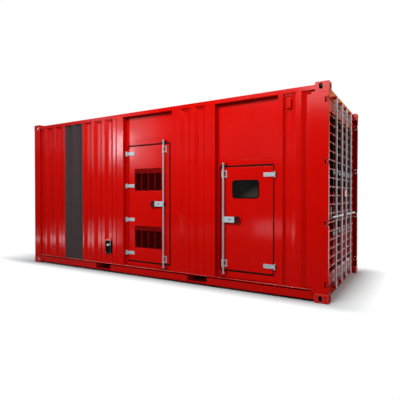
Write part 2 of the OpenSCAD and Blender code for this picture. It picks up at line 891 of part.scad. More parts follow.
end_rod_low = 84;
end_rod_high = header_low + 44;
louvre_z0 = end_leaf_z0 + end_rail_low;
louvre_z1 = end_leaf_z1 - end_rail_top;
// The three louvred windows of a leaf, from the hinge side
louvre_bays = [
    [-end_leaf_y1 + stile_w, -divider_outer_y - divider_t / 2],
    [-divider_outer_y + divider_t / 2, -divider_inner_y - divider_t / 2],
    [-divider_inner_y + divider_t / 2, -end_leaf_y0 - inner_stile_w]
];

// Stiles and rails of a leaf with its hinge blades
module end_door_frame() {
    back = end_face_x - end_leaf_t;
    difference() {
        block([back, -end_leaf_y1, end_leaf_z0], [end_face_x, -end_leaf_y0, end_leaf_z1]);
        for (y = louvre_bays)
            block([back - 1, y[0], louvre_z0], [end_face_x + 1, y[1], louvre_z1]);
    }
    for (z = end_hinges) difference() {
        union() {
            translate([end_pin_x, -end_pin_y, z])
                cylinder(r = end_knuckle_r, h = end_hinge_h, center = true);
            block([end_face_x - 1, -end_pin_y, z - end_hinge_h / 2],
                  [end_face_x + 13, stile_w - end_leaf_y1, z + end_hinge_h / 2]);
            block([end_face_x, -end_pin_y, z - end_hinge_h / 2],
                  [end_pin_x, 12 - end_pin_y, z + end_hinge_h / 2]);
        }
        translate([end_pin_x, -end_pin_y, z])
            cylinder(r = end_pin_r + fit_gap, h = end_hinge_h + 2, center = true);
    }
}

// Rain louvres in the three windows of a leaf: a front lip and a slope that rises inwards, the
// uppermost cut short under the top rail
module end_door_louvres() {
    room = louvre_z1 - louvre_z0 - first_blade - blade_lip;
    skew = blade_t * sqrt(2);
    for (y = louvre_bays) for (i = [0:floor(room / blade_pitch)]) {
        run = min(blade_run, room - i * blade_pitch - 1);
        top = blade_lip + run;
        translate([end_face_x, y[1], louvre_z0 + first_blade + i * blade_pitch]) rotate([90, 0, 0])
            linear_extrude(y[1] - y[0]) polygon([
                [0, 0], [0, blade_lip], [-run, top], [-run, top - skew],
                [-blade_t, blade_lip + blade_t - skew], [-blade_t, 0]
            ]);
    }
}

// Guides at both ends and between, and a catch below each handle
module end_door_guides() {
    catch_h = 182;
    shelf_z = end_handle_z - end_handle_h / 2 - 14;
    for (y = [rod_outer_y, rod_inner_y]) {
        translate([0, -y, 0]) rotate([0, 0, 90]) {
            for (z = [end_leaf_z0 + 77, end_leaf_z1 - 64])
                rod_guide(0, -end_face_x, -end_rod_x, end_rod_r, z, 76, 112);
            for (z = [868, 1740])
                rod_guide(0, -end_face_x, -end_rod_x, end_rod_r, z, 76, 44, false);
        }
        translate([end_face_x, -y - catch_at - catch_w / 2, shelf_z]) {
            translate([0, 0, -20]) cube([6, catch_w, catch_h]);
            cube([end_rod_out + end_rod_r + 9, catch_w, 8]);
        }
    }
}

// Small open-bottomed lock box on the right leaf
module lock_box() {
    y0 = end_leaf_y0 + 12;
    y1 = rod_inner_y - end_rod_r - 18;
    mid = end_leaf_y0 + inner_stile_w - 2;
    difference() {
        union() {
            block([end_face_x - 1, y0, lock_box_z - 52], [end_face_x + 48, mid, lock_box_z + 52]);
            block([end_face_x + 2, mid - 1, lock_box_z - 52], [end_face_x + 48, y1, lock_box_z + 52]);
        }
        block([end_face_x + 6, y0 + 5, lock_box_z - 53], [end_face_x + 43, y1 - 5, lock_box_z + 47]);
    }
}

module end_rod(y) {
    translate([end_rod_x, -y, 0]) rotate([0, 0, 90]) {
        cam_rod(end_rod_low, end_rod_high, end_rod_r);
        translate([0, 0, end_handle_z]) bar_handle(end_rod_r);
    }
}

module end_door_left_frame() {
    color("firebrick") end_door_frame();
}

module end_door_left_louvres() {
    color("firebrick") end_door_louvres();
}

module end_door_left_guides() {
    color("silver") end_door_guides();
}

module end_door_left_rod_outer() {
    color("silver") end_rod(rod_outer_y);
}

module end_door_left_rod_inner() {
    color("silver") end_rod(rod_inner_y);
}

module end_door_right_frame() {
    color("firebrick") {
        mirror([0, 1, 0]) end_door_frame();
        lock_box();
    }
}

module end_door_right_louvres() {
    color("firebrick") mirror([0, 1, 0]) end_door_louvres();
}

module end_door_right_guides() {
    color("silver") mirror([0, 1, 0]) end_door_guides();
}

module end_door_right_rod_outer() {
    color("silver") mirror([0, 1, 0]) end_rod(rod_outer_y);
}

module end_door_right_rod_inner() {
    color("silver") mirror([0, 1, 0]) end_rod(rod_inner_y);
}

//---- small gear

// Recessed box with a stop button and a key switch, under a small canopy
module emergency_stop_box() {
    x = left_wall_x1 - stop_in;
    color("dimgray") translate([x, -wall_y, stop_z]) {
        difference() {
            block([-stop_w / 2, 0, -stop_h / 2], [stop_w / 2, 70, stop_h / 2]);
            block([-stop_w / 2 + 8, -1, -stop_h / 2 + 8], [stop_w / 2 - 8, 30, stop_h / 2 - 8]);
        }
        translate([-26, 30.5, 34]) rotate([90, 0, 0]) cylinder(r = 17, h = 24);
        translate([24, 30.5, 48]) rotate([90, 0, 0]) cylinder(r = 19, h = 16);
    }
}

// Hood over a vent, open below, on a plate that reaches down to its fixing
module ventilator() {
    x = right_wall_x0 + 75;
    top = top_rail_low - trough_end - 16;
    mouth = 60;
    color("firebrick") translate([x - vent_w / 2, -wall_y, top - vent_h]) {
        difference() {
            translate([0, trough_depth, 0]) rotate([90, 0, 0]) linear_extrude(trough_depth) polygon([
                [0, mouth], [vent_w, mouth], [vent_w, vent_h - 18], [vent_w / 2 + 9, vent_h],
                [vent_w / 2 - 9, vent_h], [0, vent_h - 18]
            ]);
            translate([4, 4, mouth - 1]) cube([vent_w - 8, trough_depth - 8, vent_h - mouth - 24]);
        }
        translate([0, trough_depth - 4, 0]) cube([vent_w, 4, mouth + 1]);
    }
}

corner_castings_bottom();
corner_castings_top();
front_end_posts();
door_end_posts();
bottom_side_rails();
top_side_rails();
front_end_rails();
door_sill();
door_header();
underframe();
floor_deck();
roof_panel();
front_end_wall();
back_wall();
side_wall_left();
side_wall_middle();
side_wall_right();
bay_pillars();
bay_1_frame();
bay_1_upper_panel();
bay_2_frame();
bay_2_upper_panel();
service_hinge_lugs();
cam_keepers();
emergency_stop_box();
ventilator();
service_door_1_leaf();
service_door_1_grilles();
service_door_1_fittings();
service_door_1_lock_rod();
service_door_2_leaf();
service_door_2_window();
service_door_2_fittings();
service_door_2_lock_rod();
end_door_left_frame();
end_door_left_louvres();
end_door_left_guides();
end_door_left_rod_outer();
end_door_left_rod_inner();
end_door_right_frame();
end_door_right_louvres();
end_door_right_guides();
end_door_right_rod_outer();
end_door_right_rod_inner();
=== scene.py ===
# %% [markdown]
# # A red generator container, finished in Blender
# The steelwork comes in as a fixed frame: every plate, rod and louvre already has its real size and
# place. What is left for Blender is how it looks: enamel, zinc, rubber and glass, the small
# fasteners, and soft light to show them. Everything below is in metres, with +X towards the louvred
# end and -Y towards the side with the service doors.

# %% the frame
import math
import bmesh
import bpy
import numpy as np
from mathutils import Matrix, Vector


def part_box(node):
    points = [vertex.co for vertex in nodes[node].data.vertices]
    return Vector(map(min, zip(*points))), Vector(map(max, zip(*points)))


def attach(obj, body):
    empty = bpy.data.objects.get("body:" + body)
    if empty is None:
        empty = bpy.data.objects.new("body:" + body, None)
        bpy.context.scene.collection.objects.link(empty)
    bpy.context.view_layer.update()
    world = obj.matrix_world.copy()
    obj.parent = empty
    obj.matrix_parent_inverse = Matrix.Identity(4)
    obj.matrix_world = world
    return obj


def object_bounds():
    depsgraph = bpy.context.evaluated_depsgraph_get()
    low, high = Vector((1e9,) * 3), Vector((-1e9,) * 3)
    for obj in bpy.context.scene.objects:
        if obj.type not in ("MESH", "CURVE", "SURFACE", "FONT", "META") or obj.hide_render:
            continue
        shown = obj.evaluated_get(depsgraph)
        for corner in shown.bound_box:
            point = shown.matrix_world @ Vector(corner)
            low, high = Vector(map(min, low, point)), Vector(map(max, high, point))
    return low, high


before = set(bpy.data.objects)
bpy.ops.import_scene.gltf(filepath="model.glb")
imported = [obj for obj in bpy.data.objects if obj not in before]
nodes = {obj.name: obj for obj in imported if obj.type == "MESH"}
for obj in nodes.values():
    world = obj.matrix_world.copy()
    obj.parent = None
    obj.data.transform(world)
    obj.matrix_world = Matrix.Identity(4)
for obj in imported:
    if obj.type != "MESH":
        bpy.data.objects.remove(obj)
cad_box = [list(map(float, corner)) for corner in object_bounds()]

# %% [markdown]
# ## The view
# The container is seen from just beyond its louvred end, at chest height, so that the long side
# runs away to the left. A camera that looks straight ahead keeps the posts upright. Three things
# set it: where it stands, how far it turns, and how long its lens is.

# %% camera
camera = bpy.data.objects.new("camera", bpy.data.cameras.new("camera"))
camera.location = (4.0886, -6.1696, 1.4094)
camera.rotation_euler = (math.radians(89.333), 0.0, math.radians(31.19))
camera.data.sensor_width = 36.0
camera.data.lens = 33.41
bpy.context.scene.collection.objects.link(camera)
bpy.context.scene.camera = camera
print("camera at", tuple(round(c, 3) for c in camera.location), "lens", camera.data.lens)

# %% [markdown]
# ## Surfaces from arrays
# New pieces are made from numbers rather than by hand. A surface is a grid of points that a formula
# gives for two parameters, and neighbouring points are joined by squares. The helpers below turn
# such a grid into a mesh. A grid can be closed in either direction, which makes a tube or a ring.

# %% grid to mesh
def grid_faces(rows, columns, close_rows=False, close_columns=False):
    """Corner numbers of the squares between neighbours in a grid of rows x columns points.

    Point (i, j) has the number i * columns + j, and a closed direction wraps round."""
    i = np.arange(rows if close_rows else rows - 1)
    j = np.arange(columns if close_columns else columns - 1)
    a, b = np.meshgrid(i, j, indexing="ij")
    c, d = (a + 1) % rows, (b + 1) % columns
    quads = np.stack([a * columns + b, c * columns + b, c * columns + d, a * columns + d], -1)
    return quads.reshape(-1, 4)


def repeated(faces, copies, points_each):
    """The corner numbers of one shape for each of its copies, which follow one another."""
    return (faces[None] + (np.arange(copies) * points_each)[:, None, None]).reshape(-1, 4)


def mesh_piece(name, points, faces, body, material, smooth=False):
    """One closed mesh object from an array of points and an (m, 4) array of corner numbers.

    Points in one place are merged, which closes poles, and faces are turned outwards. The piece
    rides on a body of the frame and names the finish that it belongs to."""
    mesh = bpy.data.meshes.new(name)
    mesh.from_pydata(points.reshape(-1, 3).tolist(), [], faces.tolist())
    work = bmesh.new()
    work.from_mesh(mesh)
    bmesh.ops.remove_doubles(work, verts=work.verts, dist=0.00002)
    bmesh.ops.recalc_face_normals(work, faces=work.faces)
    work.to_mesh(mesh)
    work.free()
    if smooth:
        mesh.shade_smooth()
    else:
        mesh.shade_flat()
    mesh.materials.append(material)
    piece = bpy.data.objects.new(name, mesh)
    bpy.context.scene.collection.objects.link(piece)
    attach(piece, body)
    print(name, "has", len(mesh.polygons), "faces and rides on", body)
    return piece


print("grid helper ready:", len(grid_faces(4, 5)), "squares in a grid of 4 x 5 points")

# %% [markdown]
# ## Sums in a node tree
# A procedural finish is mostly arithmetic: this noise times that mask, plus a little of another. In
# Blender each step is a Math node with its links, so a long formula turns into a long list of them.
# The class below stands for what one output socket carries. Adding or multiplying two such values
# places the Math node, so that a formula reads here as it would on paper.

# %% nodes and sockets
def feed(value, socket):
    """Links a Value to an input socket, or sets the socket to a plain number, vector or colour."""
    if isinstance(value, Value):
        socket.id_data.links.new(value.socket, socket)
    else:
        socket.default_value = value


def give(made, **values):
    """Feeds inputs of a node by name, with _ for a space, and returns the node."""
    for key, value in values.items():
        feed(value, made.inputs[key.replace("_", " ")])
    return made


def node(tree, kind, **values):
    """A node of that kind; a value goes to the attribute or the input socket of its name."""
    made = tree.nodes.new("ShaderNode" + kind)
    for key, value in values.items():
        if hasattr(made, key):
            setattr(made, key, value)
        else:
            give(made, **{key: value})
    return made


print("helpers that place and feed a node in one line are ready")

# %% values that can be summed
class Value:
    """What an output socket carries: a number, or a vector or colour to pass on."""

    def __init__(self, socket):
        self.socket, self.tree = socket, socket.id_data

    def maths(self, operation, first, second=0.0):
        made = node(self.tree, "Math", operation=operation)
        feed(first, made.inputs[0])
        feed(second, made.inputs[1])
        return Value(made.outputs[0])

    def __add__(self, other):
        return self.maths("ADD", self, other)

    def __sub__(self, other):
        return self.maths("SUBTRACT", self, other)

    def __rsub__(self, other):
        return self.maths("SUBTRACT", other, self)

    def __mul__(self, other):
        return self.maths("MULTIPLY", self, other)

    def __truediv__(self, other):
        return self.maths("DIVIDE", self, other)

    def __abs__(self):
        return self.maths("ABSOLUTE", self)

    __radd__, __rmul__ = __add__, __mul__

    def root(self):
        return self.maths("SQRT", self)

    def least(self, other):
        return self.maths("MINIMUM", self, other)

    def most(self, other):
        return self.maths("MAXIMUM", self, other)

    def clamp(self):
        """The same value, held between 0 and 1 by the Math node that gives it."""
        self.socket.node.use_clamp = True
        return self

    def step(self, low, high, start=0.0, end=1.0):
        """A smooth step of this value, from start below low to end above high."""
        made = node(self.tree, "MapRange", interpolation_type="SMOOTHSTEP", Value=self,
                    From_Min=low, From_Max=high, To_Min=start, To_Max=end)
        return Value(made.outputs["Result"])

    def fall(self, low, high):
        """A smooth step down: 1 below low, 0 above high."""
        return self.step(low, high, 1.0, 0.0)

    def beyond(self, limit, soft=0.0005):
        """1 above the limit and 0 below it, with half the soft edge on each side."""
        return self.step(limit - soft, limit + soft)

    def within(self, limit, soft=0.0005):
        """1 below the limit and 0 above it, with half the soft edge on each side."""
        return self.fall(limit - soft, limit + soft)

    def blend(self, a, b):
        """Colour a where this value is 0, colour b where it is 1, and mixed between."""
        made = node(self.tree, "Mix", data_type="RGBA", Factor=self)
        feed(a, made.inputs[6])
        feed(b, made.inputs[7])
        return Value(made.outputs[2])


print("a Value has", len([name for name in vars(Value) if not name.startswith("_")]), "named sums")

# %% places and noise
def out_of(made, name=0):
    """What a node gives at one of its outputs."""
    return Value(made.outputs[name])


def values_of(made):
    """Everything that a node gives, by the names of its outputs."""
    return {socket.name: Value(socket) for socket in made.outputs}


def object_place(tree):
    """Where a point lies on the object, in metres."""
    return out_of(node(tree, "TexCoord"), "Object")


def xyz(vector):
    """The three parts of a vector."""
    return [Value(socket) for socket in node(vector.tree, "SeparateXYZ", Vector=vector).outputs]


def noise(tree, scale, detail, place=None):
    """Soft noise between 0 and 1, with scale features to the metre, read at place."""
    made = node(tree, "TexNoise", Scale=scale, Detail=detail, Vector=place or object_place(tree))
    return out_of(made, "Fac")


def stretched(tree, scale):
    """The place on the object with each axis stretched by its own scale."""
    return out_of(node(tree, "Mapping", Vector=object_place(tree), Scale=scale))


def fresh_tree(owner):
    """The emptied node tree of a material or a world."""
    owner.use_nodes = True
    owner.node_tree.nodes.clear()
    return owner.node_tree


print("place and noise helpers ready")

# %% [markdown]
# ## Shader groups
# Enamel on a panel, on a casting and on a rail is the same paint with different wear. A node group
# holds what they share, and each material places it with its own values. The groups below give only
# colours, masks and heights; the shader that turns them into a surface stays in each material.

# %% group helpers
def new_group(name, inputs, outputs):
    """An empty shader group: its tree, its inputs by name, and its output node.

    An input is (name, kind, value) and an output (name, kind)."""
    tree = bpy.data.node_groups.new(name, "ShaderNodeTree")
    for label, kind, value in inputs:
        socket = tree.interface.new_socket(label, in_out="INPUT", socket_type="NodeSocket" + kind)
        socket.default_value = value
    for label, kind in outputs:
        tree.interface.new_socket(label, in_out="OUTPUT", socket_type="NodeSocket" + kind)
    return tree, values_of(tree.nodes.new("NodeGroupInput")), tree.nodes.new("NodeGroupOutput")


def place_group(tree, group, **values):
    """Places a group with its own input values, and returns its outputs by name."""
    made = tree.nodes.new("ShaderNodeGroup")
    made.node_tree = group
    return values_of(give(made, **values))


print("group helpers ready")

# %% [markdown]
# ### Paint film
# Sprayed enamel is never quite even. Its colour drifts over a metre or so, its gloss changes a
# little from patch to patch, thin sheet shows soft waves in its reflections, and close up there is
# orange peel. Each of these is noise at its own scale, so one group can carry them all.

# %% paint film group
def paint_film_group():
    """Colour = paint mixed with shade by slow noise; height = sheet waves + orange peel."""
    tree, given, out = new_group(
        "paint_film",
        [("Paint", "Color", (0.6, 0.01, 0.01, 1)), ("Shade", "Color", (0.4, 0.01, 0.01, 1)),
         ("Mottle", "Float", 0.3), ("Gloss", "Float", 0.35), ("Waves", "Float", 1.0)],
        [("Color", "Color"), ("Roughness", "Float"), ("Height", "Float")])
    slow, patch, peel = noise(tree, 0.9, 2.0), noise(tree, 7.0, 4.0), noise(tree, 420.0, 1.0)
    waves = noise(tree, 2.2, 1.0, stretched(tree, (1.0, 1.0, 0.35)))
    drift = slow * 0.7 + patch * 0.3
    worn = drift.step(0.35, 0.65) * given["Mottle"]
    give(out, Color=worn.blend(given["Paint"], given["Shade"]),
         Roughness=given["Gloss"] + (patch - 0.5) * 0.06,
         Height=waves * 0.0012 * given["Waves"] + peel * 0.000004)
    return tree


paint_film = paint_film_group()
print("group:", paint_film.name)

# %% [markdown]
# ### Edges and dust
# Paint thins on corners, where it shows lighter and duller, and dust settles on ledges and near the
# ground. On the castings the pale edge is strong and wide, and there it is painted highlight as well
# as wear. A Bevel node gives the corners: it bends the normal close to an edge, so how far the bent
# normal leaves the true one says how near the edge is. Dust needs only the height above the ground
# and how far a face looks up.

# %% edge and dust groups
def edge_group():
    """Edge = 1 minus the dot product of the true normal and one rounded over Radius, sharpened."""
    tree, given, out = new_group("edge_wear_and_highlight", [("Radius", "Float", 0.006), ("Breakup", "Float", 0.5)],
                                 [("Edge", "Float")])
    likeness = node(tree, "VectorMath", operation="DOT_PRODUCT")
    feed(out_of(node(tree, "Bevel", samples=4, Radius=given["Radius"])), likeness.inputs[0])
    feed(out_of(node(tree, "NewGeometry"), "Normal"), likeness.inputs[1])
    edge = (1.0 - out_of(likeness, "Value")).step(0.02, 0.22)
    unbroken = 1.0 - noise(tree, 38.0, 5.0).step(0.42, 0.62) * given["Breakup"]
    give(out, Edge=(edge * unbroken).clamp())
    return tree


def dust_group():
    """Dust = (how far up the face looks + how near the ground it is) times noise times Amount."""
    tree, given, out = new_group("settled_dust", [("Amount", "Float", 0.5), ("Reach", "Float", 0.5)],
                                 [("Dust", "Float")])
    height = xyz(object_place(tree))[2]
    up = xyz(out_of(node(tree, "NewGeometry"), "Normal"))[2]
    low = (1.0 - height / given["Reach"]).clamp()
    both = up.step(0.5, 0.95) * 0.5 + low * low
    give(out, Dust=(both * noise(tree, 11.0, 6.0) * given["Amount"]).clamp())
    return tree


edge_wear_and_highlight = edge_group()
settled_dust = dust_group()
print("groups:", edge_wear_and_highlight.name, settled_dust.name)

# %% [markdown]
# ### Corners and hollows
# Little light reaches an inner corner, and almost none the space between two louvres, behind a
# grille or in a fork pocket. That shade is painted into the colour here. An Ambient Occlusion node
# finds corners for painted shade, but it can't tell a deep hollow from a shallow one. So a second
# group marks what lies inside a box, and painted shade darkens the paint there. The container's
# ends and sides are alike, so one box taken on |X| and |Y| serves four corners at once.

# %% corner and hollow groups
def crevice_group():
    """Shade = how much of the surroundings within Reach hides a point, from 0 in the open to 1."""
    tree, given, out = new_group("crevice", [("Reach", "Float", 0.08), ("Strength", "Float", 1.0)],
                                 [("Shade", "Float")])
    open_sky = node(tree, "AmbientOcclusion", samples=6, Distance=given["Reach"])
    give(out, Shade=(out_of(open_sky, "AO").fall(0.18, 0.75) * given["Strength"]).clamp())
    return tree


def inside_group():
    """Inside = 1 where |X|, |Y| and Z lie within half sizes of a centre, with edges 1 mm soft."""
    tree, given, out = new_group(
        "inside_box", [("Centre", "Vector", (0, 0, 0)), ("Half", "Vector", (1, 1, 1))],
        [("Inside", "Float")])
    room = [half - abs(abs(place) - centre) for place, centre, half in
            zip(xyz(object_place(tree)), xyz(given["Centre"]), xyz(given["Half"]))]
    give(out, Inside=(room[0].least(room[1]).least(room[2]) * 1000.0).clamp())
    return tree


crevice = crevice_group()
inside_box = inside_group()
print("groups:", crevice.name, inside_box.name)

# %% [markdown]
# ### Zinc
# Zinc plating crystallises in flat grains, each a slightly different grey, under fine scratches.
# A Voronoi texture makes cells with one random value each, which is just what the grains need.

# %% zinc group
def zinc_group():
    """Tone = one random value per Voronoi cell, softened by noise; scratches follow the Z axis."""
    tree, given, out = new_group("zinc_grain", [("Grain", "Float", 160.0)],
                                 [("Tone", "Float"), ("Roughness", "Float"), ("Height", "Float")])
    cells = node(tree, "TexVoronoi", Vector=object_place(tree), Scale=given["Grain"])
    shade = node(tree, "SeparateColor", Color=out_of(cells, "Color"))
    grains = out_of(shade) * 0.55 + noise(tree, 24.0, 5.0) * 0.45
    scratch = noise(tree, 1.0, 2.0, stretched(tree, (900.0, 900.0, 14.0)))
    give(out, Tone=grains, Roughness=grains * 0.2 + 0.34, Height=scratch * 0.0001)
    return tree


zinc_grain = zinc_group()
print("group:", zinc_grain.name)

# %% [markdown]
# ## Materials
# Each material is a Principled shader fed by the groups. One helper starts it and places the
# shader and a bump, because every finish here has some relief. Red enamel is the finish of nearly
# every plate, so it has a recipe of its own: the paint film, worn lighter on edges, dusty on
# ledges, darkened by painted shade in corners and hollows, and on some pieces a clear coat that
# gives a second, sharper reflection. The Bevel node under the bump rounds the edges in the light
# only.

# %% material helpers
def new_material(name, **constants):
    """A material with a Principled shader and a bump; constants go on the shader's own sockets."""
    material = bpy.data.materials.new(name)
    tree = fresh_tree(material)
    bump = node(tree, "Bump", Distance=1.0)
    shader = node(tree, "BsdfPrincipled", Normal=out_of(bump), **constants)
    node(tree, "OutputMaterial", Surface=out_of(shader))
    return material, tree, shader, bump


PAINT = (0.62, 0.0028, 0.0010, 1.0)
SHADE = (0.52, 0.0018, 0.0007, 1.0)
THIN = (0.74, 0.03, 0.022, 1.0)
CORNER_SHADE_COLOUR = (0.10, 0.0005, 0.0003, 1.0)
HOLLOW_SHADE_COLOUR = (0.004, 0.0002, 0.0002, 1.0)
DUST = (0.40, 0.20, 0.17, 1.0)


def enamel_parts(name, paint=PAINT, shade=SHADE, thin=THIN, mottle=0.4, gloss=0.15, waves=1.0,
                 edge=0.1, dust=0.04, bend=0.004, corner=0.6, specular=0.18, rim=0.006,
                 hollows=(), coat=0.0):
    """Red enamel with its shader, colour and roughness.

    Gloss is the paint's roughness, bend and rim are the radii of edges in light and in wear, and
    each shade box is a centre, its half sizes and how dark its painted shade is. The clear coat
    stays out of them."""
    material, tree, shader, bump = new_material(name, Specular_IOR_Level=specular, Coat_Roughness=0.12)
    surface_look = place_group(tree, paint_film, Paint=paint, Shade=shade, Mottle=mottle, Gloss=gloss,
                       Waves=waves)
    pale_edge = place_group(tree, edge_wear_and_highlight, Radius=rim, Breakup=0.4)["Edge"] * edge
    dusty = place_group(tree, settled_dust, Amount=dust, Reach=0.45)["Dust"]
    # Painted shade: corners that Ambient Occlusion finds hidden are darkened towards a near-black red.
    shaded = place_group(tree, crevice, Reach=0.07, Strength=corner)["Shade"]
    colour = shaded.blend(dusty.blend(pale_edge.blend(surface_look["Color"], thin), DUST), CORNER_SHADE_COLOUR)
    # Painted shade: inside each shade box the paint is darkened towards black.
    for centre, half, black in hollows:
        inside = place_group(tree, inside_box, Centre=centre, Half=half)["Inside"]
        colour = (inside * black).blend(colour, HOLLOW_SHADE_COLOUR)
        if coat:
            coat = coat * (1.0 - inside)
    roughness = surface_look["Roughness"] + dusty * 0.5
    give(shader, Base_Color=colour, Roughness=roughness, Coat_Weight=coat)
    give(bump, Height=surface_look["Height"], Normal=out_of(node(tree, "Bevel", samples=4, Radius=bend)))
    return material, shader, colour, roughness


def enamel(name, **looks):
    """Red enamel, as enamel_parts gives it, when only the material is needed."""
    return enamel_parts(name, **looks)[0]


print("material helpers ready")

# %% [markdown]
# ### Red enamel
# The walls and roof are thin sheet, so their reflections waver. Posts, rails and castings are thick
# and stay straight, but they take the knocks; the castings' pale edges are partly wear and partly
# painted highlight. The bottom rails lie in shade, and their darker red is painted shade; they carry
# road dirt. The shade boxes paint black shade over the hinge pockets of the door posts, the holes of
# the castings, the fork pockets and rail flanges, the three banks of louvres, the hinge knuckles and
# the grilles. In the louvres the painted shade is darkest high up and weakest low down.

# %% red enamels
HINGE_HEIGHTS = (0.252, 1.053, 1.855, 2.656)
CASTING_HEIGHTS = (0.059, 2.837)
GRILLE_HEIGHTS = (0.667, 1.669)
# Painted shade inside the louvres: darkest in the upper bank and weakest in the lowest.
LOUVRE_SHADE = [((2.90, 0.6, z), (0.0625, 0.545, half), dark) for z, half, dark in
                  ((2.02, 0.556, 0.98), (1.19, 0.273, 0.75), (0.625, 0.291, 0.35))]
# Painted shade on the near half of each hinge knuckle, in the hinge pockets, in the castings' holes and
# behind the grille slats.
KNUCKLE_SHADE = [((2.978, 1.19, z), (0.016, 0.035, 0.036), 1.0) for z in HINGE_HEIGHTS]
POCKET_SHADE = [((2.94, 1.130, z), (0.0865, 0.0865, 0.045), 1.0) for z in HINGE_HEIGHTS]
CASTING_SHADE = [((2.940, 1.138, z), (0.081, 0.073, 0.051), 1.0) for z in CASTING_HEIGHTS]
GRILLE_SHADE = [((0.0, 1.0805, z), (0.32, 0.0275, 0.1985), 0.93) for z in GRILLE_HEIGHTS]
# Painted shade on the rails: in the fork pockets, in a band under the wall's foot and along the lower edge.
RAIL_SHADE = [((1.025, 0.60, 0.0975), (0.179, 0.605, 0.0555), 0.97),
                ((0.0, 1.18, 0.1485), (2.852, 0.06, 0.0105), 1.0),
                ((0.0, 1.18, 0.032), (2.852, 0.06, 0.006), 0.7)]

sheet_red = enamel("enamel_on_sheet", bend=0.014, waves=0.6)
frame_red = enamel("enamel_on_frame", waves=0.15, edge=0.2, specular=0.14)
header_red = enamel("enamel_on_header", waves=0.15, edge=0.2, specular=0.14, coat=1.0)
post_red = enamel("enamel_on_door_posts", waves=0.15, edge=0.2, specular=0.12, hollows=POCKET_SHADE)
# Painted highlight and wear: the castings' edges get a wide, strong pale pink rim.
casting_red = enamel("enamel_on_castings", thin=(0.90, 0.26, 0.22, 1), waves=0.05, edge=0.9, dust=0.08,
                     gloss=0.26, bend=0.007, rim=0.013, hollows=CASTING_SHADE)
# The rails' darker red is painted shade.
rail_red = enamel("enamel_on_bottom_rails", paint=(0.55, 0.0018, 0.0008, 1),
                  shade=(0.43, 0.0013, 0.0006, 1), waves=0.1, edge=0.3, dust=0.03, gloss=0.34,
                  specular=0.07, rim=0.008, hollows=RAIL_SHADE)
# Painted highlight: beads and the stop box's hood are a pale pink, broken by mottle, so they read as lit.
pale_highlight_red = enamel("pale_highlight_enamel", paint=(0.90, 0.16, 0.14, 1), shade=(0.62, 0.012, 0.010, 1),
                  mottle=1.0, waves=0.0, edge=0.0, corner=0.0, gloss=0.3, specular=0.5)
louvre_red = enamel("enamel_on_louvres", paint=(0.72, 0.004, 0.002, 1), waves=0.1, edge=0.2,
                    gloss=0.22, specular=0.05, hollows=LOUVRE_SHADE, coat=0.7)
leaf_red = enamel("enamel_on_end_leaves", waves=0.1, edge=0.2, gloss=0.2, specular=0.1,
                  hollows=LOUVRE_SHADE + KNUCKLE_SHADE, coat=0.35)
slat_red = enamel("shaded_enamel_on_grilles", paint=(0.20, 0.0012, 0.0016, 1),
                  shade=(0.12, 0.0008, 0.0012, 1), waves=0.0, edge=0.0, dust=0.0, gloss=0.6,
                  specular=0.03, hollows=GRILLE_SHADE)
print("enamels:", [m.name for m in bpy.data.materials if "enamel" in m.name])

# %% [markdown]
# ### The painted stripe
# One band of the corrugated wall is dark grey from sill to top rail. It was masked and sprayed over
# the corrugations, so a plain mask along X does the same: grey between two stations, red elsewhere,
# with a hair of softness where the tape was pulled off.

# %% wall with the stripe
STRIPE = (-2.066, -1.552)


def striped_wall():
    """The sheet enamel, turned grey where X lies between the two stations of STRIPE."""
    material, shader, red, gloss = enamel_parts("enamel_on_striped_wall", bend=0.012, waves=0.45)
    x = xyz(object_place(red.tree))[0]
    inside = x.beyond(STRIPE[0], 0.001) * x.within(STRIPE[1], 0.001)
    grey = place_group(red.tree, paint_film, Paint=(0.056, 0.038, 0.040, 1),
                       Shade=(0.044, 0.031, 0.033, 1), Mottle=0.3, Gloss=0.8, Waves=0.0)
    give(shader, Base_Color=inside.blend(red, grey["Color"]),
         Roughness=gloss + (grey["Roughness"] - gloss) * inside)
    return material


stripe_wall = striped_wall()
print("stripe from", STRIPE[0], "to", STRIPE[1], "m along the wall")

# %% [markdown]
# ### Zinc and plastic
# Hinge straps, guides and lock rods are zinc plated: pale plates, duller rods, guides whiter still.
# The grip ring and the stop block of each service handle are black plastic on the same forging, and
# the handle's plate has a hole, drawn as a dark disc of painted shade. One material covers all of
# that, because masks by position turn zinc into plastic round the ring and behind the rod.

# %% zinc
def zinc_parts(name, tone=(0.62, 0.73, 0.77), dull=(0.40, 0.49, 0.53), grain=140.0, metal=0.3):
    """Zinc whose tone and gloss change from grain to grain, with its shader, colour and roughness."""
    material, tree, shader, bump = new_material(name, Metallic=metal, Specular_IOR_Level=0.3)
    grains = place_group(tree, zinc_grain, Grain=grain)
    pale_edge = place_group(tree, edge_wear_and_highlight, Radius=0.003, Breakup=0.3)["Edge"] * 0.5
    colour = pale_edge.blend(grains["Tone"].blend((*dull, 1), (*tone, 1)), (0.74, 0.80, 0.83, 1))
    give(shader, Base_Color=colour, Roughness=grains["Roughness"])
    give(bump, Height=grains["Height"])
    return material, shader, colour, grains["Roughness"]


def zinc(name, **looks):
    """Zinc, as zinc_parts gives it, when only the material is needed."""
    return zinc_parts(name, **looks)[0]


zinc_plate = zinc("zinc_plate")
zinc_rod = zinc("zinc_rod", tone=(0.84, 0.91, 0.95), dull=(0.70, 0.76, 0.80), grain=90.0, metal=0.1)
zinc_guide = zinc("zinc_guides", tone=(0.86, 0.93, 0.96), dull=(0.66, 0.73, 0.76), metal=0.0)
zinc_bolt = zinc("zinc_bolts", tone=(0.36, 0.39, 0.41), dull=(0.22, 0.24, 0.25), grain=300.0)
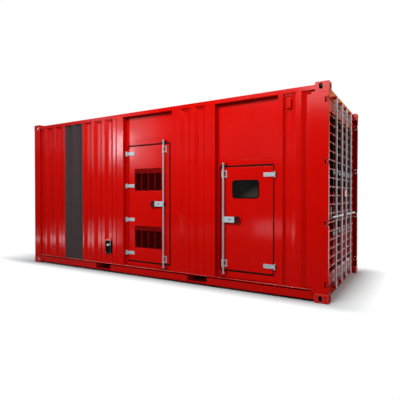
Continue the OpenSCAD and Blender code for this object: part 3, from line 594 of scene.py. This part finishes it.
# Painted highlight: rivet heads are zinc tinted near white, paler than plating, so they show as bright
# dots.
rivet_highlight_zinc = zinc("highlight_white_zinc_on_rivets", tone=(0.98, 0.99, 1.0), dull=(0.90, 0.92, 0.94), grain=300.0,
                  metal=0.1)
print("zincs:", [m.name for m in (zinc_plate, zinc_rod, zinc_guide, zinc_bolt, rivet_highlight_zinc)])


# %% zinc with a plastic grip
RING_HALF_WIDE, RING_HALF_HIGH = 0.046, 0.053
BLOCK_START, BLOCK_HALF_HIGH = 0.014, 0.039
ROD_HALF, ROD_CLEAR = 0.013, 0.051
HOLE_RADIUS, HOLE_SHARE = 0.012, 0.45


def handle_zinc(name, rod_x, ring_x, height):
    """Zinc with black plastic round the grip ring at ring_x and behind the rod at rod_x."""
    material, shader, colour, roughness = zinc_parts(name)
    x, _, z = xyz(object_place(colour.tree))
    away_z = abs(z - height)
    ring = abs(x - ring_x).within(RING_HALF_WIDE) * away_z.within(RING_HALF_HIGH)
    past = (x - rod_x) * (1.0 if rod_x > ring_x else -1.0)
    plastic = ring.most(past.beyond(BLOCK_START) * away_z.within(BLOCK_HALF_HIGH))
    bare_rod = abs(past).within(ROD_HALF) * away_z.beyond(ROD_CLEAR, 0.001)
    drawn = (bare_rod * 0.35).blend(colour, (0.22, 0.24, 0.25, 1))
    to_hole = x - (HOLE_SHARE * ring_x + (1 - HOLE_SHARE) * rod_x)
    # Painted shade: the hole is a near-black disc on the plate.
    hole = (to_hole * to_hole + away_z * away_z).root().within(HOLE_RADIUS)
    holed = hole.blend(drawn, (0.02, 0.021, 0.022, 1))
    give(shader, Base_Color=plastic.blend(holed, (0.003, 0.003, 0.003, 1)),
         Roughness=roughness + plastic * 0.4, Metallic=(1.0 - plastic) * 0.3)
    return material


print("handles: plastic where the ring and the block are, zinc elsewhere")

# %% [markdown]
# ### Rubber, deck and glass
# Door seals are black rubber, which is dull and takes no clean highlight. The deck inside has a
# matt grey coating that behaves the same way, so one recipe makes both. The window is tinted so
# dark that hardly anything shows through. It reflects the ground in front of it, and a pale tan
# patch painted into its lower corner is a painted reflection.

# %% rubber, deck and glass
def matt_coating(name, colour):
    """A dull coating: one colour clouded with a paler one by noise, over a fine moulded grain."""
    material, tree, shader, bump = new_material(name, Specular_IOR_Level=0.12)
    cloud = noise(tree, 9.0, 4.0)
    pale = tuple(1.8 * part for part in colour)
    give(shader, Base_Color=cloud.step(0.35, 0.7).blend((*colour, 1.0), (*pale, 1.0)),
         Roughness=cloud * 0.2 + 0.7)
    give(bump, Height=noise(tree, 260.0, 3.0) * 0.0002)
    return material


def window_glass():
    """Dark tinted glass: nearly opaque, glossy, with a bloom of dust and a painted reflection in a corner.
    """
    material, tree, shader, bump = new_material("tinted_glass", Transmission_Weight=0.35, IOR=1.5)
    low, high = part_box("service_door_2_window")
    x, _, z = xyz(object_place(tree))
    cloud = noise(tree, 5.0, 5.0)
    bloom = cloud.step(0.3, 0.8)
    # Painted reflection: a pale tan patch that grows towards the lower right corner of the window.
    corner = (x.step(low[0], high[0]) + z.fall(low[2], high[2])).step(1.0, 2.0)
    surface_look = (corner * (bloom + 0.8)).clamp()
    tint = bloom.blend((0.005, 0.0055, 0.0045, 1), (0.012, 0.0125, 0.011, 1))
    give(shader, Base_Color=surface_look.blend(tint, (0.070, 0.062, 0.046, 1)), Roughness=bloom * 0.10 + 0.04)
    give(bump, Height=cloud * 0.0004)
    return material


seal_and_gap_black = matt_coating("rubber_and_gap_shade", (0.002, 0.002, 0.002))
deck_grey = matt_coating("deck_coating", (0.09, 0.09, 0.095))
glass = window_glass()
print("rubber and glass:", seal_and_gap_black.name, deck_grey.name, glass.name)

# %% [markdown]
# ### The emergency stop
# A black plate in a dark tray carries a stop button, which shows as a pale disc, and a key switch,
# a dark disc in a bright ring. All of it is one casting in the frame, so masks by position give
# each its colour.

# %% emergency stop
def stop_box():
    """Tray colour by depth, then discs by distance: pale button, bright ring, dark key switch."""
    material, tree, shader, bump = new_material("stop_box", Specular_IOR_Level=0.06)
    low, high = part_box("emergency_stop_box")
    mid_x, mid_z = (low[0] + high[0]) / 2, (low[2] + high[2]) / 2
    x, y, z = xyz(object_place(tree))
    cloud = noise(tree, 60.0, 4.0)
    plate = cloud.blend((0.004, 0.005, 0.005, 1), (0.012, 0.013, 0.013, 1))
    colour = y.within(low[1] + 0.0027).blend(plate, (0.014, 0.028, 0.027, 1))
    for right, up, radius, disc in ((-0.026, 0.034, 0.018, (0.90, 0.89, 0.88, 1)),
                                    (0.024, 0.048, 0.0195, (0.60, 0.62, 0.62, 1)),
                                    (0.024, 0.048, 0.013, (0.006, 0.006, 0.006, 1))):
        a, b = x - (mid_x + right), z - (mid_z + up)
        colour = (a * a + b * b).root().within(radius).blend(colour, disc)
    give(shader, Base_Color=colour, Roughness=cloud * 0.25 + 0.45)
    give(bump, Height=cloud * 0.0002)
    return material


stop_finish = stop_box()
print("stop box:", stop_finish.name)

# %% [markdown]
# ### Finishes on the frame
# Every node of the frame gets one of these materials in place of the plain colour it came with. A
# few nodes have a finish of their own, and the rest share one with all nodes of their kind, so a
# word in the name is enough to find it. The two service lock rods carry the handles.

# %% assign finishes
BY_NAME = {"side_wall_left": stripe_wall, "floor_deck": deck_grey, "emergency_stop_box": stop_finish,
           "service_door_2_window": glass, "service_door_1_grilles": slat_red,
           "door_end_posts": post_red, "door_header": header_red, "bottom_side_rails": rail_red,
           "underframe": rail_red, "front_end_rails": rail_red}
BY_WORD = (("castings", casting_red), ("louvres", louvre_red), ("guides", zinc_guide),
           ("lugs", zinc_plate), ("fittings", zinc_plate), ("_rod", zinc_rod), ("wall", sheet_red),
           ("panel", sheet_red), ("leaf", sheet_red), ("end_door", leaf_red))


def finish_of(name):
    """The material for a node: its own, or that of the first word in its name, or frame enamel."""
    shared = [finish for word, finish in BY_WORD if word in name]
    return BY_NAME.get(name, (shared + [frame_red])[0])


def dress(name, finish):
    """Puts a finish on every material slot of a node."""
    if len(nodes[name].material_slots) == 0:
        nodes[name].data.materials.append(finish)
    for slot in nodes[name].material_slots:
        slot.material = finish


for name in nodes:
    dress(name, finish_of(name))
print("finishes assigned to", len(nodes), "nodes")

# %% handles of the service doors
RING_INSET = 0.045
BLOCK_PAST = 0.0275
HANDLE_HEIGHTS = {1: 1.270, 2: 1.050}
service_rod_x = {}
for door, ring_side in ((1, -1.0), (2, 1.0)):
    low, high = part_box(f"service_door_{door}_lock_rod")
    ring_end, block_end = (low[0], high[0]) if ring_side < 0 else (high[0], low[0])
    service_rod_x[door] = block_end + ring_side * BLOCK_PAST
    dress(f"service_door_{door}_lock_rod",
          handle_zinc(f"zinc_and_plastic_{door}", service_rod_x[door],
                      ring_end - ring_side * RING_INSET, HANDLE_HEIGHTS[door]))
print("service lock rods stand at x =", {door: round(x, 3) for door, x in service_rod_x.items()})

# %% [markdown]
# ## Small fasteners
# Straps and guides are held by hexagon bolts with a washer, and the louvres by domed rivets. They
# repeat by the dozen, so one small head is computed once as a surface of revolution, a profile
# turned about its axis, and copied to all its places by adding arrays. Each body gets one joined
# mesh, so that the bolts of a door swing with it.

# %% turned shapes and their copies
def turned(radii, heights, sides=12):
    """A profile (r, h) turned about an axis: point = (r cos a, r sin a, h), a from 0 to a full turn."""
    angle = np.linspace(0, 2 * np.pi, sides, endpoint=False)
    radii, heights = np.asarray(radii, float), np.asarray(heights, float)
    return np.stack([np.outer(radii, np.cos(angle)), np.outer(radii, np.sin(angle)),
                     np.repeat(heights[:, None], sides, 1)], -1)


def bolt_head(size):
    """Washer, head and low dome: a stepped profile in shares of the head's radius, turned."""
    return turned(size * np.array([0.0, 1.45, 1.45, 1.0, 1.0, 0.8, 0.0]),
                  size * np.array([-0.05, -0.05, 0.22, 0.25, 0.75, 0.95, 1.0]))


def rivet_head(size, rise=0.5):
    """A dome: the quarter of an ellipse, its height a share of its radius, turned about its axis."""
    angle = np.linspace(0, np.pi / 2, 5)
    return turned(np.append(0.0, size * np.cos(angle)),
                  np.append(-0.0004, size * rise * np.sin(angle)), 14)


def pattern(centres, offsets=((0.0, 0.0, 0.0),)):
    """Every centre plus every offset, as one (n, 3) array."""
    return (np.array(centres, float)[:, None] + np.array(offsets, float)[None]).reshape(-1, 3)


def place_copies(name, head, places, facing, body, material, smooth=False):
    """Copies a turned shape to every place, its axis along facing: point = place + turn times head."""
    rows, columns, _ = head.shape
    facing = np.array(facing, float)
    side = np.cross([0.0, 1.0, 0.0] if abs(facing[2]) > 0.5 else [0.0, 0.0, 1.0], facing)
    turn = np.stack([side, np.cross(facing, side), facing], 1)
    points = pattern(places)[:, None, None, :] + (head @ turn.T)[None]
    faces = repeated(grid_faces(rows, columns, close_columns=True), len(places), rows * columns)
    return mesh_piece(name, points, faces, body, material, smooth)


OUT_OF_SIDE, OUT_OF_END, UPWARDS = (0, -1, 0), (1, 0, 0), (0, 0, 1)
print("a bolt head has", bolt_head(0.008)[..., 0].size, "points")

# %% [markdown]
# ### Bolts of the service doors
# The bolts of a strap and the bolts of a guide plate stand in small patterns. A pattern is a short
# list of offsets, and the array of places is every centre plus every offset.

# %% bolts on the service doors
WALL_FACE = -1.130
PIN_OUT = 0.028
STRAP_MIDDLE = 0.108
STRAP_PROUD, GUIDE_PROUD = 0.008, 0.006
STRAP_PATTERN = [(dx, 0, dz) for dx in (-0.04, 0.04) for dz in (-0.015, 0.015)] + [(0, 0, 0)]
GUIDE_PATTERN = [(dx, 0, dz) for dx in (-0.0345, 0.0345) for dz in (-0.041, 0, 0.041)]

for door, straps, guides in ((1, (0.392, 0.985, 1.583, 2.155), (0.335, 2.191)),
                             (2, (0.398, 1.712), (0.382, 1.737))):
    low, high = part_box(f"service_door_{door}_leaf")
    strap_x = low[0] - PIN_OUT + STRAP_MIDDLE if door == 1 else high[0] + PIN_OUT - STRAP_MIDDLE
    for kind, size, centres, offsets in (
            ("strap", 0.0065, [(strap_x, WALL_FACE - STRAP_PROUD, z) for z in straps], STRAP_PATTERN),
            ("guide", 0.005, [(service_rod_x[door], WALL_FACE - GUIDE_PROUD, z) for z in guides],
             GUIDE_PATTERN)):
        place_copies(f"service_door_{door}_{kind}_bolts", bolt_head(size), pattern(centres, offsets),
                     OUT_OF_SIDE, f"service_door_{door}", zinc_bolt)

# %% [markdown]
# ### Bolts, rivets and collars of the louvred doors
# Each guide plate has six bolts, and a domed rivet holds the lip of every louvre at three places.
# The rivets stand at the spacing of the louvres, so their heights are one sum on an array. The lock
# rods carry turned collars above their lower guides, which keep them from sliding down.

# %% bolts, rivets and collars of the louvred doors
END_FACE = 2.965
END_ROD_X = 3.001
END_RODS = {"inner": 0.183, "outer": 0.596}
END_GUIDES = (0.232, 2.672)
END_PATTERN = [(0, dy, dz) for dy in (-0.0305, 0.0305) for dz in (-0.042, 0, 0.042)]
FIRST_LIP, BLADE_PITCH, LIPS = 0.4162, 0.1243, 18
RIVET_COLUMNS = (0.165, 0.612, 0.950)
COLLAR_HEIGHTS = (0.128, 0.150)

lip_heights = FIRST_LIP + BLADE_PITCH * np.arange(LIPS)
collar = turned([0.0145, 0.0195, 0.0205, 0.0205, 0.0195, 0.0145],
                [-0.005, -0.005, -0.004, 0.004, 0.005, 0.005], 20)
for side, sign in (("left", -1.0), ("right", 1.0)):
    door = f"end_door_{side}"
    guides = [(END_FACE + GUIDE_PROUD, sign * y, z) for y in END_RODS.values() for z in END_GUIDES]
    rivets = [(END_FACE, sign * y, z) for y in RIVET_COLUMNS for z in lip_heights]
    place_copies(door + "_guide_bolts", bolt_head(0.0052), pattern(guides, END_PATTERN), OUT_OF_END,
                 door, zinc_bolt)
    place_copies(door + "_rivets", rivet_head(0.010, 1.0), rivets, OUT_OF_END, door,
                 rivet_highlight_zinc, True)
    for rod, y in END_RODS.items():
        place_copies(f"end_lock_{side}_{rod}_collars", collar,
                     [(END_ROD_X, sign * y, z) for z in COLLAR_HEIGHTS], UPWARDS,
                     f"end_lock_{side}_{rod}", zinc_rod, True)

# %% [markdown]
# ## Rubber seals
# A door closes on a strip of black rubber. On the service doors it shows as a dark line round the
# leaf, drawn wider than the gap so that its black also stands for the gap's shade: partly rubber,
# partly painted shade. The window sits in a rubber gasket of its own. Both are one idea: a small
# cross-section carried round a rectangle with rounded corners. The path and its outward direction
# come from the corner arcs, and the section is measured along that direction and out of the wall.
# Where a doorway's frame hides one side of the seal, the points are held back at a station along
# the wall.

# %% rings round a rectangle
FAR = 9.0


def rounded_path(low, high, radius, steps=6):
    """Points and outward directions round a rectangle: corner centre + radius times (cos a, sin a)."""
    a = np.linspace(0, np.pi / 2, steps)
    turns = np.array([0.0, 0.5, 1.0, 1.5])[:, None] * np.pi + a
    out = np.stack([np.cos(turns), np.sin(turns)], -1).reshape(-1, 2)
    (x0, z0), (x1, z1) = low, high
    centres = np.array([[x1 - radius, z1 - radius], [x0 + radius, z1 - radius],
                        [x0 + radius, z0 + radius], [x1 - radius, z0 + radius]])
    return np.repeat(centres, steps, 0) + radius * out, out


def ring_piece(name, inner, radius, section, body, limits=(-FAR, FAR)):
    """Section (across, proud) carried round the box of a node in the wall, held between two limits.

    Point = path + across times outward direction in X and Z, and the wall's face - proud in Y."""
    low, high = inner
    path, out = rounded_path((low[0], low[2]), (high[0], high[2]), radius)
    across, proud = np.array(section, float).T
    x = np.clip(path[:, None, 0] + out[:, None, 0] * across, *limits)
    z = path[:, None, 1] + out[:, None, 1] * across
    points = np.stack([x, np.broadcast_to(WALL_FACE - proud, x.shape), z], -1)
    faces = grid_faces(len(path), len(across), close_rows=True, close_columns=True)
    return mesh_piece(name, points, faces, body, seal_and_gap_black, True)


print("a rounded path has", len(rounded_path((0, 0), (1, 1), 0.1)[0]), "points")

# %% seals of the service doors and the window
SEAL_SECTION = [(0.002, -0.010), (0.002, 0.0010), (0.004, 0.0022), (0.024, 0.0022),
                (0.026, 0.0010), (0.026, -0.010)]
SEAL_PAST_HINGE = {1: 0.007, 2: 0.016}

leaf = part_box("service_door_1_leaf")
ring_piece("service_door_1_seal", leaf, 0.002, SEAL_SECTION, "enclosure",
           (leaf[0][0] - SEAL_PAST_HINGE[1], FAR))
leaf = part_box("service_door_2_leaf")
ring_piece("service_door_2_seal", leaf, 0.002, SEAL_SECTION, "enclosure",
           (-FAR, leaf[1][0] + SEAL_PAST_HINGE[2]))
gasket_section = [(0.011 * math.cos(a), 0.0045 * math.sin(a) - 0.0005) for a in np.linspace(0, np.pi, 7)]
ring_piece("service_door_2_window_gasket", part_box("service_door_2_window"), 0.040, gasket_section,
           "service_door_2")

# %% [markdown]
# ### Seals of the louvred doors
# The louvred doors close on straight strips: one along the header, one along the sill, one up each
# post and one where the two doors meet, which rides on the right door. Each is a bar with cut
# corners, so the same section is carried from one end point to the other and closed at both.

# %% seals of the louvred doors
ALONG_X, ALONG_Y, ALONG_Z = (1.0, 0, 0), (0, 1.0, 0), (0, 0, 1.0)
SEAL_X = 2.940
SEAL_WIDE = 0.030
MIDDLE_GAP_Y = 0.0015


def bar_piece(name, bars, thick, deep_along, body):
    """Bars from start to end points, SEAL_WIDE along X and thick along deep_along, corners cut.

    Point = end point + a times X + b times deep_along; the ends close to their middle."""
    w, d, cut = SEAL_WIDE / 2, thick / 2, min(SEAL_WIDE, thick) * 0.25
    section = np.array([(-w, -d + cut), (-w, d - cut), (-w + cut, d), (w - cut, d),
                        (w, d - cut), (w, -d + cut), (w - cut, -d), (-w + cut, -d)])
    ring = section[:, :1] * ALONG_X + section[:, 1:] * deep_along
    start, end = np.array(bars, float).transpose(1, 0, 2)[:, :, None]
    points = np.stack([start + 0 * ring, start + ring, end + ring, end + 0 * ring], 1)
    faces = repeated(grid_faces(4, len(ring), close_columns=True), len(bars), 4 * len(ring))
    return mesh_piece(name, points, faces, body, seal_and_gap_black)


low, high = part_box("end_door_left_frame")
bar_piece("end_seal_header", [[(SEAL_X, -1.045, 2.7495), (SEAL_X, 1.045, 2.7495)]], 0.018, ALONG_Z,
          "enclosure")
bar_piece("end_seal_sill", [[(SEAL_X, -1.045, 0.1415), (SEAL_X, 1.045, 0.1415)]], 0.017, ALONG_Z,
          "enclosure")
# The strips up the posts fill the dark band beside the doors: partly rubber, partly painted shade.
bar_piece("end_seal_posts", [[(SEAL_X, y, 0.135), (SEAL_X, y, 2.756)] for y in (-1.0535, 1.0535)],
          0.009, ALONG_Y, "enclosure")
bar_piece("end_seal_middle", [[(SEAL_X, MIDDLE_GAP_Y, low[2] + 0.004),
                               (SEAL_X, MIDDLE_GAP_Y, high[2] - 0.004)]],
          0.012, ALONG_Y, "end_door_right")

# %% [markdown]
# ## Weld beads
# The wall sheets stand on the bottom rails and are welded along their foot. The bead is never quite
# straight, and it shows as a thin broken line of light: its enamel is glossy, and its pale pink
# mottle is painted highlight. A small round section is carried along the rail, and two sine waves
# of different lengths move it up and down by about a millimetre.

# %% weld beads
BEAD_Y = -1.2130
BEAD_SIZE = 0.0053
BEAD_STEPS, BEAD_SIDES = 260, 8


def bead_piece(name, x0, x1, z):
    """A round bead from x0 to x1: centre z + 1 mm times a sum of sines, radius swelling by a tenth."""
    x = np.linspace(x0, x1, BEAD_STEPS)
    turn = np.linspace(0, 2 * np.pi, BEAD_SIDES, endpoint=False)
    sway = 0.0010 * (np.sin(x * 9.0) + 0.6 * np.sin(x * 23.0 + 1.0))
    radius = BEAD_SIZE * (1 + 0.1 * np.sin(x * 170.0))
    radius[[0, -1]] = 0.0
    points = np.stack([np.repeat(x[:, None], BEAD_SIDES, 1),
                       BEAD_Y + radius[:, None] * np.cos(turn),
                       z + sway[:, None] + radius[:, None] * np.sin(turn)], -1)
    return mesh_piece(name, points, grid_faces(BEAD_STEPS, BEAD_SIDES, close_columns=True),
                      "enclosure", pale_highlight_red, True)


rail_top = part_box("bottom_side_rails")[1][2]
for name, x0, x1 in (("left", -2.848, -0.516), ("bay_1", -0.508, 0.548), ("middle", 0.556, 1.352),
                     ("bay_2", 1.360, 2.343), ("right", 2.351, 2.800)):
    bead_piece("foot_bead_" + name, x0, x1, rail_top + 0.002)

# %% [markdown]
# ## The stop box's canopy
# A little red hood keeps rain off the stop button. It is bent from one strip of sheet: flat on top,
# rolled over at the front, and drawn down at both ends. A rounded profile carried along the width
# gives the outer face, and the same profile a sheet's thickness further in leads back to where it
# began. So each station along the width is a closed ring, and only the two ends need caps.

# %% canopy
def canopy_piece():
    """Hood over the stop box: a quarter roll over the front edge, carried across the width.

    Point = (x, roll centre - depth cos a, top + rise sin a), the ends drawn down by a smooth step."""
    low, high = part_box("emergency_stop_box")
    inset, deep, rise, thick = 0.004, 0.022, 0.042, 0.003
    back, back_top = low[1] + 0.034, high[2] + 0.038
    level_half, bend, droop = 0.050, 0.013, 0.022
    x = np.linspace(low[0] + inset, high[0] - inset, 21)
    a = np.linspace(0, np.pi / 2, 7)
    ends = np.clip((np.abs(x - x.mean()) - level_half) / bend, 0, 1) ** 2
    y = np.append(low[1] + 0.001 + deep * (1 - np.cos(a)), back)
    z = np.append(high[2] - 0.002 + rise * np.sin(a), back_top)
    drop = droop * ends[:, None] * (z[None] > high[2])
    outer = np.stack([np.repeat(x[:, None], len(y), 1), np.repeat(y[None], len(x), 0), z[None] - drop], -1)
    inner = outer + (0.0, thick, -thick)
    points = np.concatenate([outer, inner[:, ::-1]], 1)
    rows, ring = points.shape[:2]
    j = np.arange(len(y) - 1)
    cap = np.stack([j, j + 1, ring - 2 - j, ring - 1 - j], -1)
    faces = np.concatenate([grid_faces(rows, ring, close_columns=True), cap, cap + (rows - 1) * ring])
    # The hood's lighter pink is painted highlight.
    return mesh_piece("stop_box_canopy", points, faces, "enclosure", pale_highlight_red, True)


canopy_piece()

# %% [markdown]
# ### Fixings of the stop box and the ventilator
# Two rivets hold the canopy, four small bolts the plate of the box, and one painted bolt the
# ventilator. They are the heads made above, sunk a little so that nothing stands past the frame.

# %% fixings of the stop box and the ventilator
low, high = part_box("emergency_stop_box")
places = [(x, low[1] + 0.0024, high[2] + 0.012) for x in (low[0] + 0.018, high[0] - 0.018)]
place_copies("stop_box_canopy_rivets", rivet_head(0.008), places, OUT_OF_SIDE, "enclosure",
             rivet_highlight_zinc, True)
places = [(x, low[1] + 0.0028, z) for x in (low[0] + 0.0045, high[0] - 0.0045)
          for z in (low[2] + 0.012, high[2] - 0.016)]
place_copies("stop_box_bolts", bolt_head(0.0045), places, OUT_OF_SIDE, "enclosure", rivet_highlight_zinc)
low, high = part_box("ventilator")
places = [((low[0] + high[0]) / 2, high[1] - 0.0042, low[2] + 0.022)]
place_copies("ventilator_bolts", bolt_head(0.007), places, OUT_OF_SIDE, "enclosure",
             frame_red)

# %% [markdown]
# ## Light and ground
# A few large soft lamps show the paint without hard edges: one main lamp from the front, weaker
# ones from the left, the right, the end, the back and above, and a warm one that catches the rims
# of the louvred end. Enamel is told by what it mirrors, so long cards stand in front of the wall
# as well. They are lamps that light nothing and show only in reflections, which draws bright
# streaks on the corrugations without changing how bright the paint is.

# %% lamps and cards
CARD_COLOUR = (0.90, 0.92, 1.0)


def lamp(name, place, target, size, power, colour=(1.0, 1.0, 1.0)):
    """A rectangular area lamp at place, facing target."""
    data = bpy.data.lights.new(name, "AREA")
    data.shape = "RECTANGLE"
    data.size, data.size_y = size
    data.energy = power
    data.color = colour
    made = bpy.data.objects.new(name, data)
    made.location = place
    aim = np.array(target, float) - np.array(place, float)
    made.rotation_euler = (math.acos(-aim[2] / np.linalg.norm(aim)), 0.0,
                           math.atan2(aim[1], aim[0]) - math.pi / 2)
    made.visible_camera = False
    bpy.context.scene.collection.objects.link(made)
    return made


def glossy_card(name, start, end, deep, power):
    """A long lamp from start to end that shows only in reflections: its width runs along the line."""
    start, end = np.array(start, float), np.array(end, float)
    middle, along = (start + end) / 2, end - start
    size = (float(np.linalg.norm(along)), deep)
    card = lamp(name, middle, middle + (0.0, 1.0, 0.0), size, power, CARD_COLOUR)
    card.rotation_euler = (math.pi / 2, -math.atan2(along[2], along[0]), 0.0)
    card.visible_diffuse = False
    return card


lamps = [
    lamp("key_lamp", (1.1, -5.5, 5.3), (1.0, -1.2, 2.1), (4.0, 2.0), 325.0),
    lamp("left_lamp", (-6.5, -7.5, 3.6), (-1.8, -1.2, 1.6), (2.6, 2.2), 46.0),
    lamp("right_lamp", (1.5, -8.7, 5.0), (2.4, -1.2, 2.2), (1.6, 1.2), 66.0),
    lamp("back_lamp", (-1.0, 7.5, 4.5), (0.0, 1.2, 1.5), (5.0, 2.0), 110.0),
    lamp("end_lamp", (8.5, 0.5, 2.0), (3.0, 0.0, 1.4), (1.5, 3.0), 70.0),
    lamp("top_lamp", (-0.5, 0.8, 7.0), (-0.5, 0.5, 0.0), (8.0, 4.0), 170.0),
    lamp("rim_lamp", (6.8, 4.5, 4.2), (3.0, 0.0, 1.8), (3.0, 2.0), 60.0, (1.0, 0.72, 0.5)),
    glossy_card("strip_card", (-6.44, -7.15, 3.42), (-6.02, -7.15, 3.38), 0.9, 85.0),
    glossy_card("wing_card", (-6.2, -7.15, 3.3), (-5.5, -7.15, 3.25), 1.4, 4.5),
    glossy_card("upper_card", (-6.4, -3.5, 3.30), (1.6, -3.5, 2.55), 0.9, 9.0),
    glossy_card("upper_right_card", (1.0, -3.5, 2.42), (1.7, -3.5, 2.36), 0.5, 1.6),
    glossy_card("low_left_card", (-6.4, -3.5, -0.05), (-2.8, -3.5, 0.30), 0.30, 29.0),
    glossy_card("low_left_fade", (-6.4, -3.5, 0.24), (-4.9, -3.5, 0.39), 0.36, 0.7),
    glossy_card("low_right_fade", (-4.9, -3.5, 0.39), (-2.8, -3.5, 0.60), 0.36, 4.8),
    glossy_card("low_middle_card", (-2.8, -3.5, 0.35), (1.0, -3.5, 0.70), 0.25, 1.2),
    glossy_card("low_right_card", (0.9, -3.5, 0.69), (1.7, -3.5, 0.76), 0.30, 2.8),
]
print("lamps:", [made.name for made in lamps])

# %% [markdown]
# ### The world
# The world fills the shadows. To the camera, and through glass, it is plain white of strength 1. A
# Light Path node tells such rays apart from the ones that light the object, which find a dim grey
# on the side of the camera and a lighter one behind. In reflections the far side is white too, with
# a warm band above the ground that the louvred end mirrors.

# %% world
BACKDROP_WAY = (0.55, 0.83)


def towards_backdrop(x, y):
    """How far a place or direction lies towards the backdrop: its dot product with BACKDROP_WAY."""
    return x * BACKDROP_WAY[0] + y * BACKDROP_WAY[1]


def world_light():
    """White where a backdrop stands, behind and to the right; dim grey on the side of the camera.

    White share = smooth step of how far the direction lies towards the backdrop, for glossy rays."""
    world = bpy.data.worlds.new("studio")
    bpy.context.scene.world = world
    tree = fresh_tree(world)
    ray = values_of(node(tree, "LightPath"))
    x, y, z = xyz(out_of(node(tree, "TexCoord"), "Generated"))
    behind = towards_backdrop(x, y).step(-0.25, 0.35)
    warm = z.step(0.05, 0.16) * ray["Is Glossy Ray"]
    backdrop = warm.blend((1, 1, 1, 1), (0.62, 0.27, 0.11, 1))
    seen = ray["Is Camera Ray"].most(ray["Is Transmission Ray"]).most(ray["Is Glossy Ray"] * behind)
    dim = ray["Is Diffuse Ray"].blend((0.07, 0.07, 0.075, 1), (0.16, 0.16, 0.165, 1))
    ambient = behind.blend(dim, (0.36, 0.36, 0.37, 1))
    node(tree, "OutputWorld", Surface=out_of(node(tree, "Background", Color=seen.blend(ambient, backdrop))))
    return world


print("world:", world_light().name)

# %% [markdown]
# ### The floor
# The floor has to keep the container's shadow and yet run out into pure white. Close to the part it
# is a lit, pale surface. Further off it turns into plain white of strength 1 for the camera, over a
# width of its own on each side, so that the shadow fades out instead of ending at a line.

# %% floor
def floor_finish():
    """Pale floor: lit and shaded close to the part, plain white further away.

    Distance = length of (how far past each side of the box, over that side's own fading width)."""
    material = bpy.data.materials.new("studio_floor")
    tree = fresh_tree(material)
    ray = values_of(node(tree, "LightPath"))
    x, y, _ = xyz(object_place(tree))
    edge_x, edge_y = cad_box[1][0], cad_box[1][1]
    square = 0.0
    for place, edge, fade in ((x, edge_x, 0.5), (x * -1.0, edge_x, 1.3), (y, edge_y, 0.5),
                              (y * -1.0, edge_y, 0.28)):
        past = (place - edge).most(0.0) / fade
        square = past * past + square
    seen = ray["Is Camera Ray"].most(ray["Is Transmission Ray"])
    far_off = square.root().clamp() * seen
    behind = towards_backdrop(x, y).step(1.5, 4.0) * ray["Is Glossy Ray"]
    dim = ray["Is Glossy Ray"].blend((0.30, 0.31, 0.31, 1), (0.08, 0.085, 0.085, 1))
    pale = node(tree, "BsdfDiffuse", Color=seen.blend(dim, (0.60, 0.66, 0.67, 1)))
    white = node(tree, "Emission", Color=(1, 1, 1, 1), Strength=1.0)
    either = node(tree, "MixShader", Fac=far_off.most(behind))
    feed(out_of(pale), either.inputs[1])
    feed(out_of(white), either.inputs[2])
    node(tree, "OutputMaterial", Surface=out_of(either))
    return material


def floor_plane(size=60.0, steps=2):
    """A flat grid: x and y run from -size/2 to size/2, z = 0."""
    line = np.linspace(-size / 2, size / 2, steps)
    x, y = np.meshgrid(line, line, indexing="ij")
    mesh = bpy.data.meshes.new("floor")
    mesh.from_pydata(np.stack([x, y, np.zeros_like(x)], -1).reshape(-1, 3).tolist(), [],
                     grid_faces(steps, steps).tolist())
    mesh.materials.append(floor_finish())
    plane = bpy.data.objects.new("floor", mesh)
    bpy.context.scene.collection.objects.link(plane)
    return plane


print("floor:", tuple(floor_plane().dimensions))
bpy.context.scene.view_settings.view_transform = "Standard"

# %% sizes
print("scene ready")
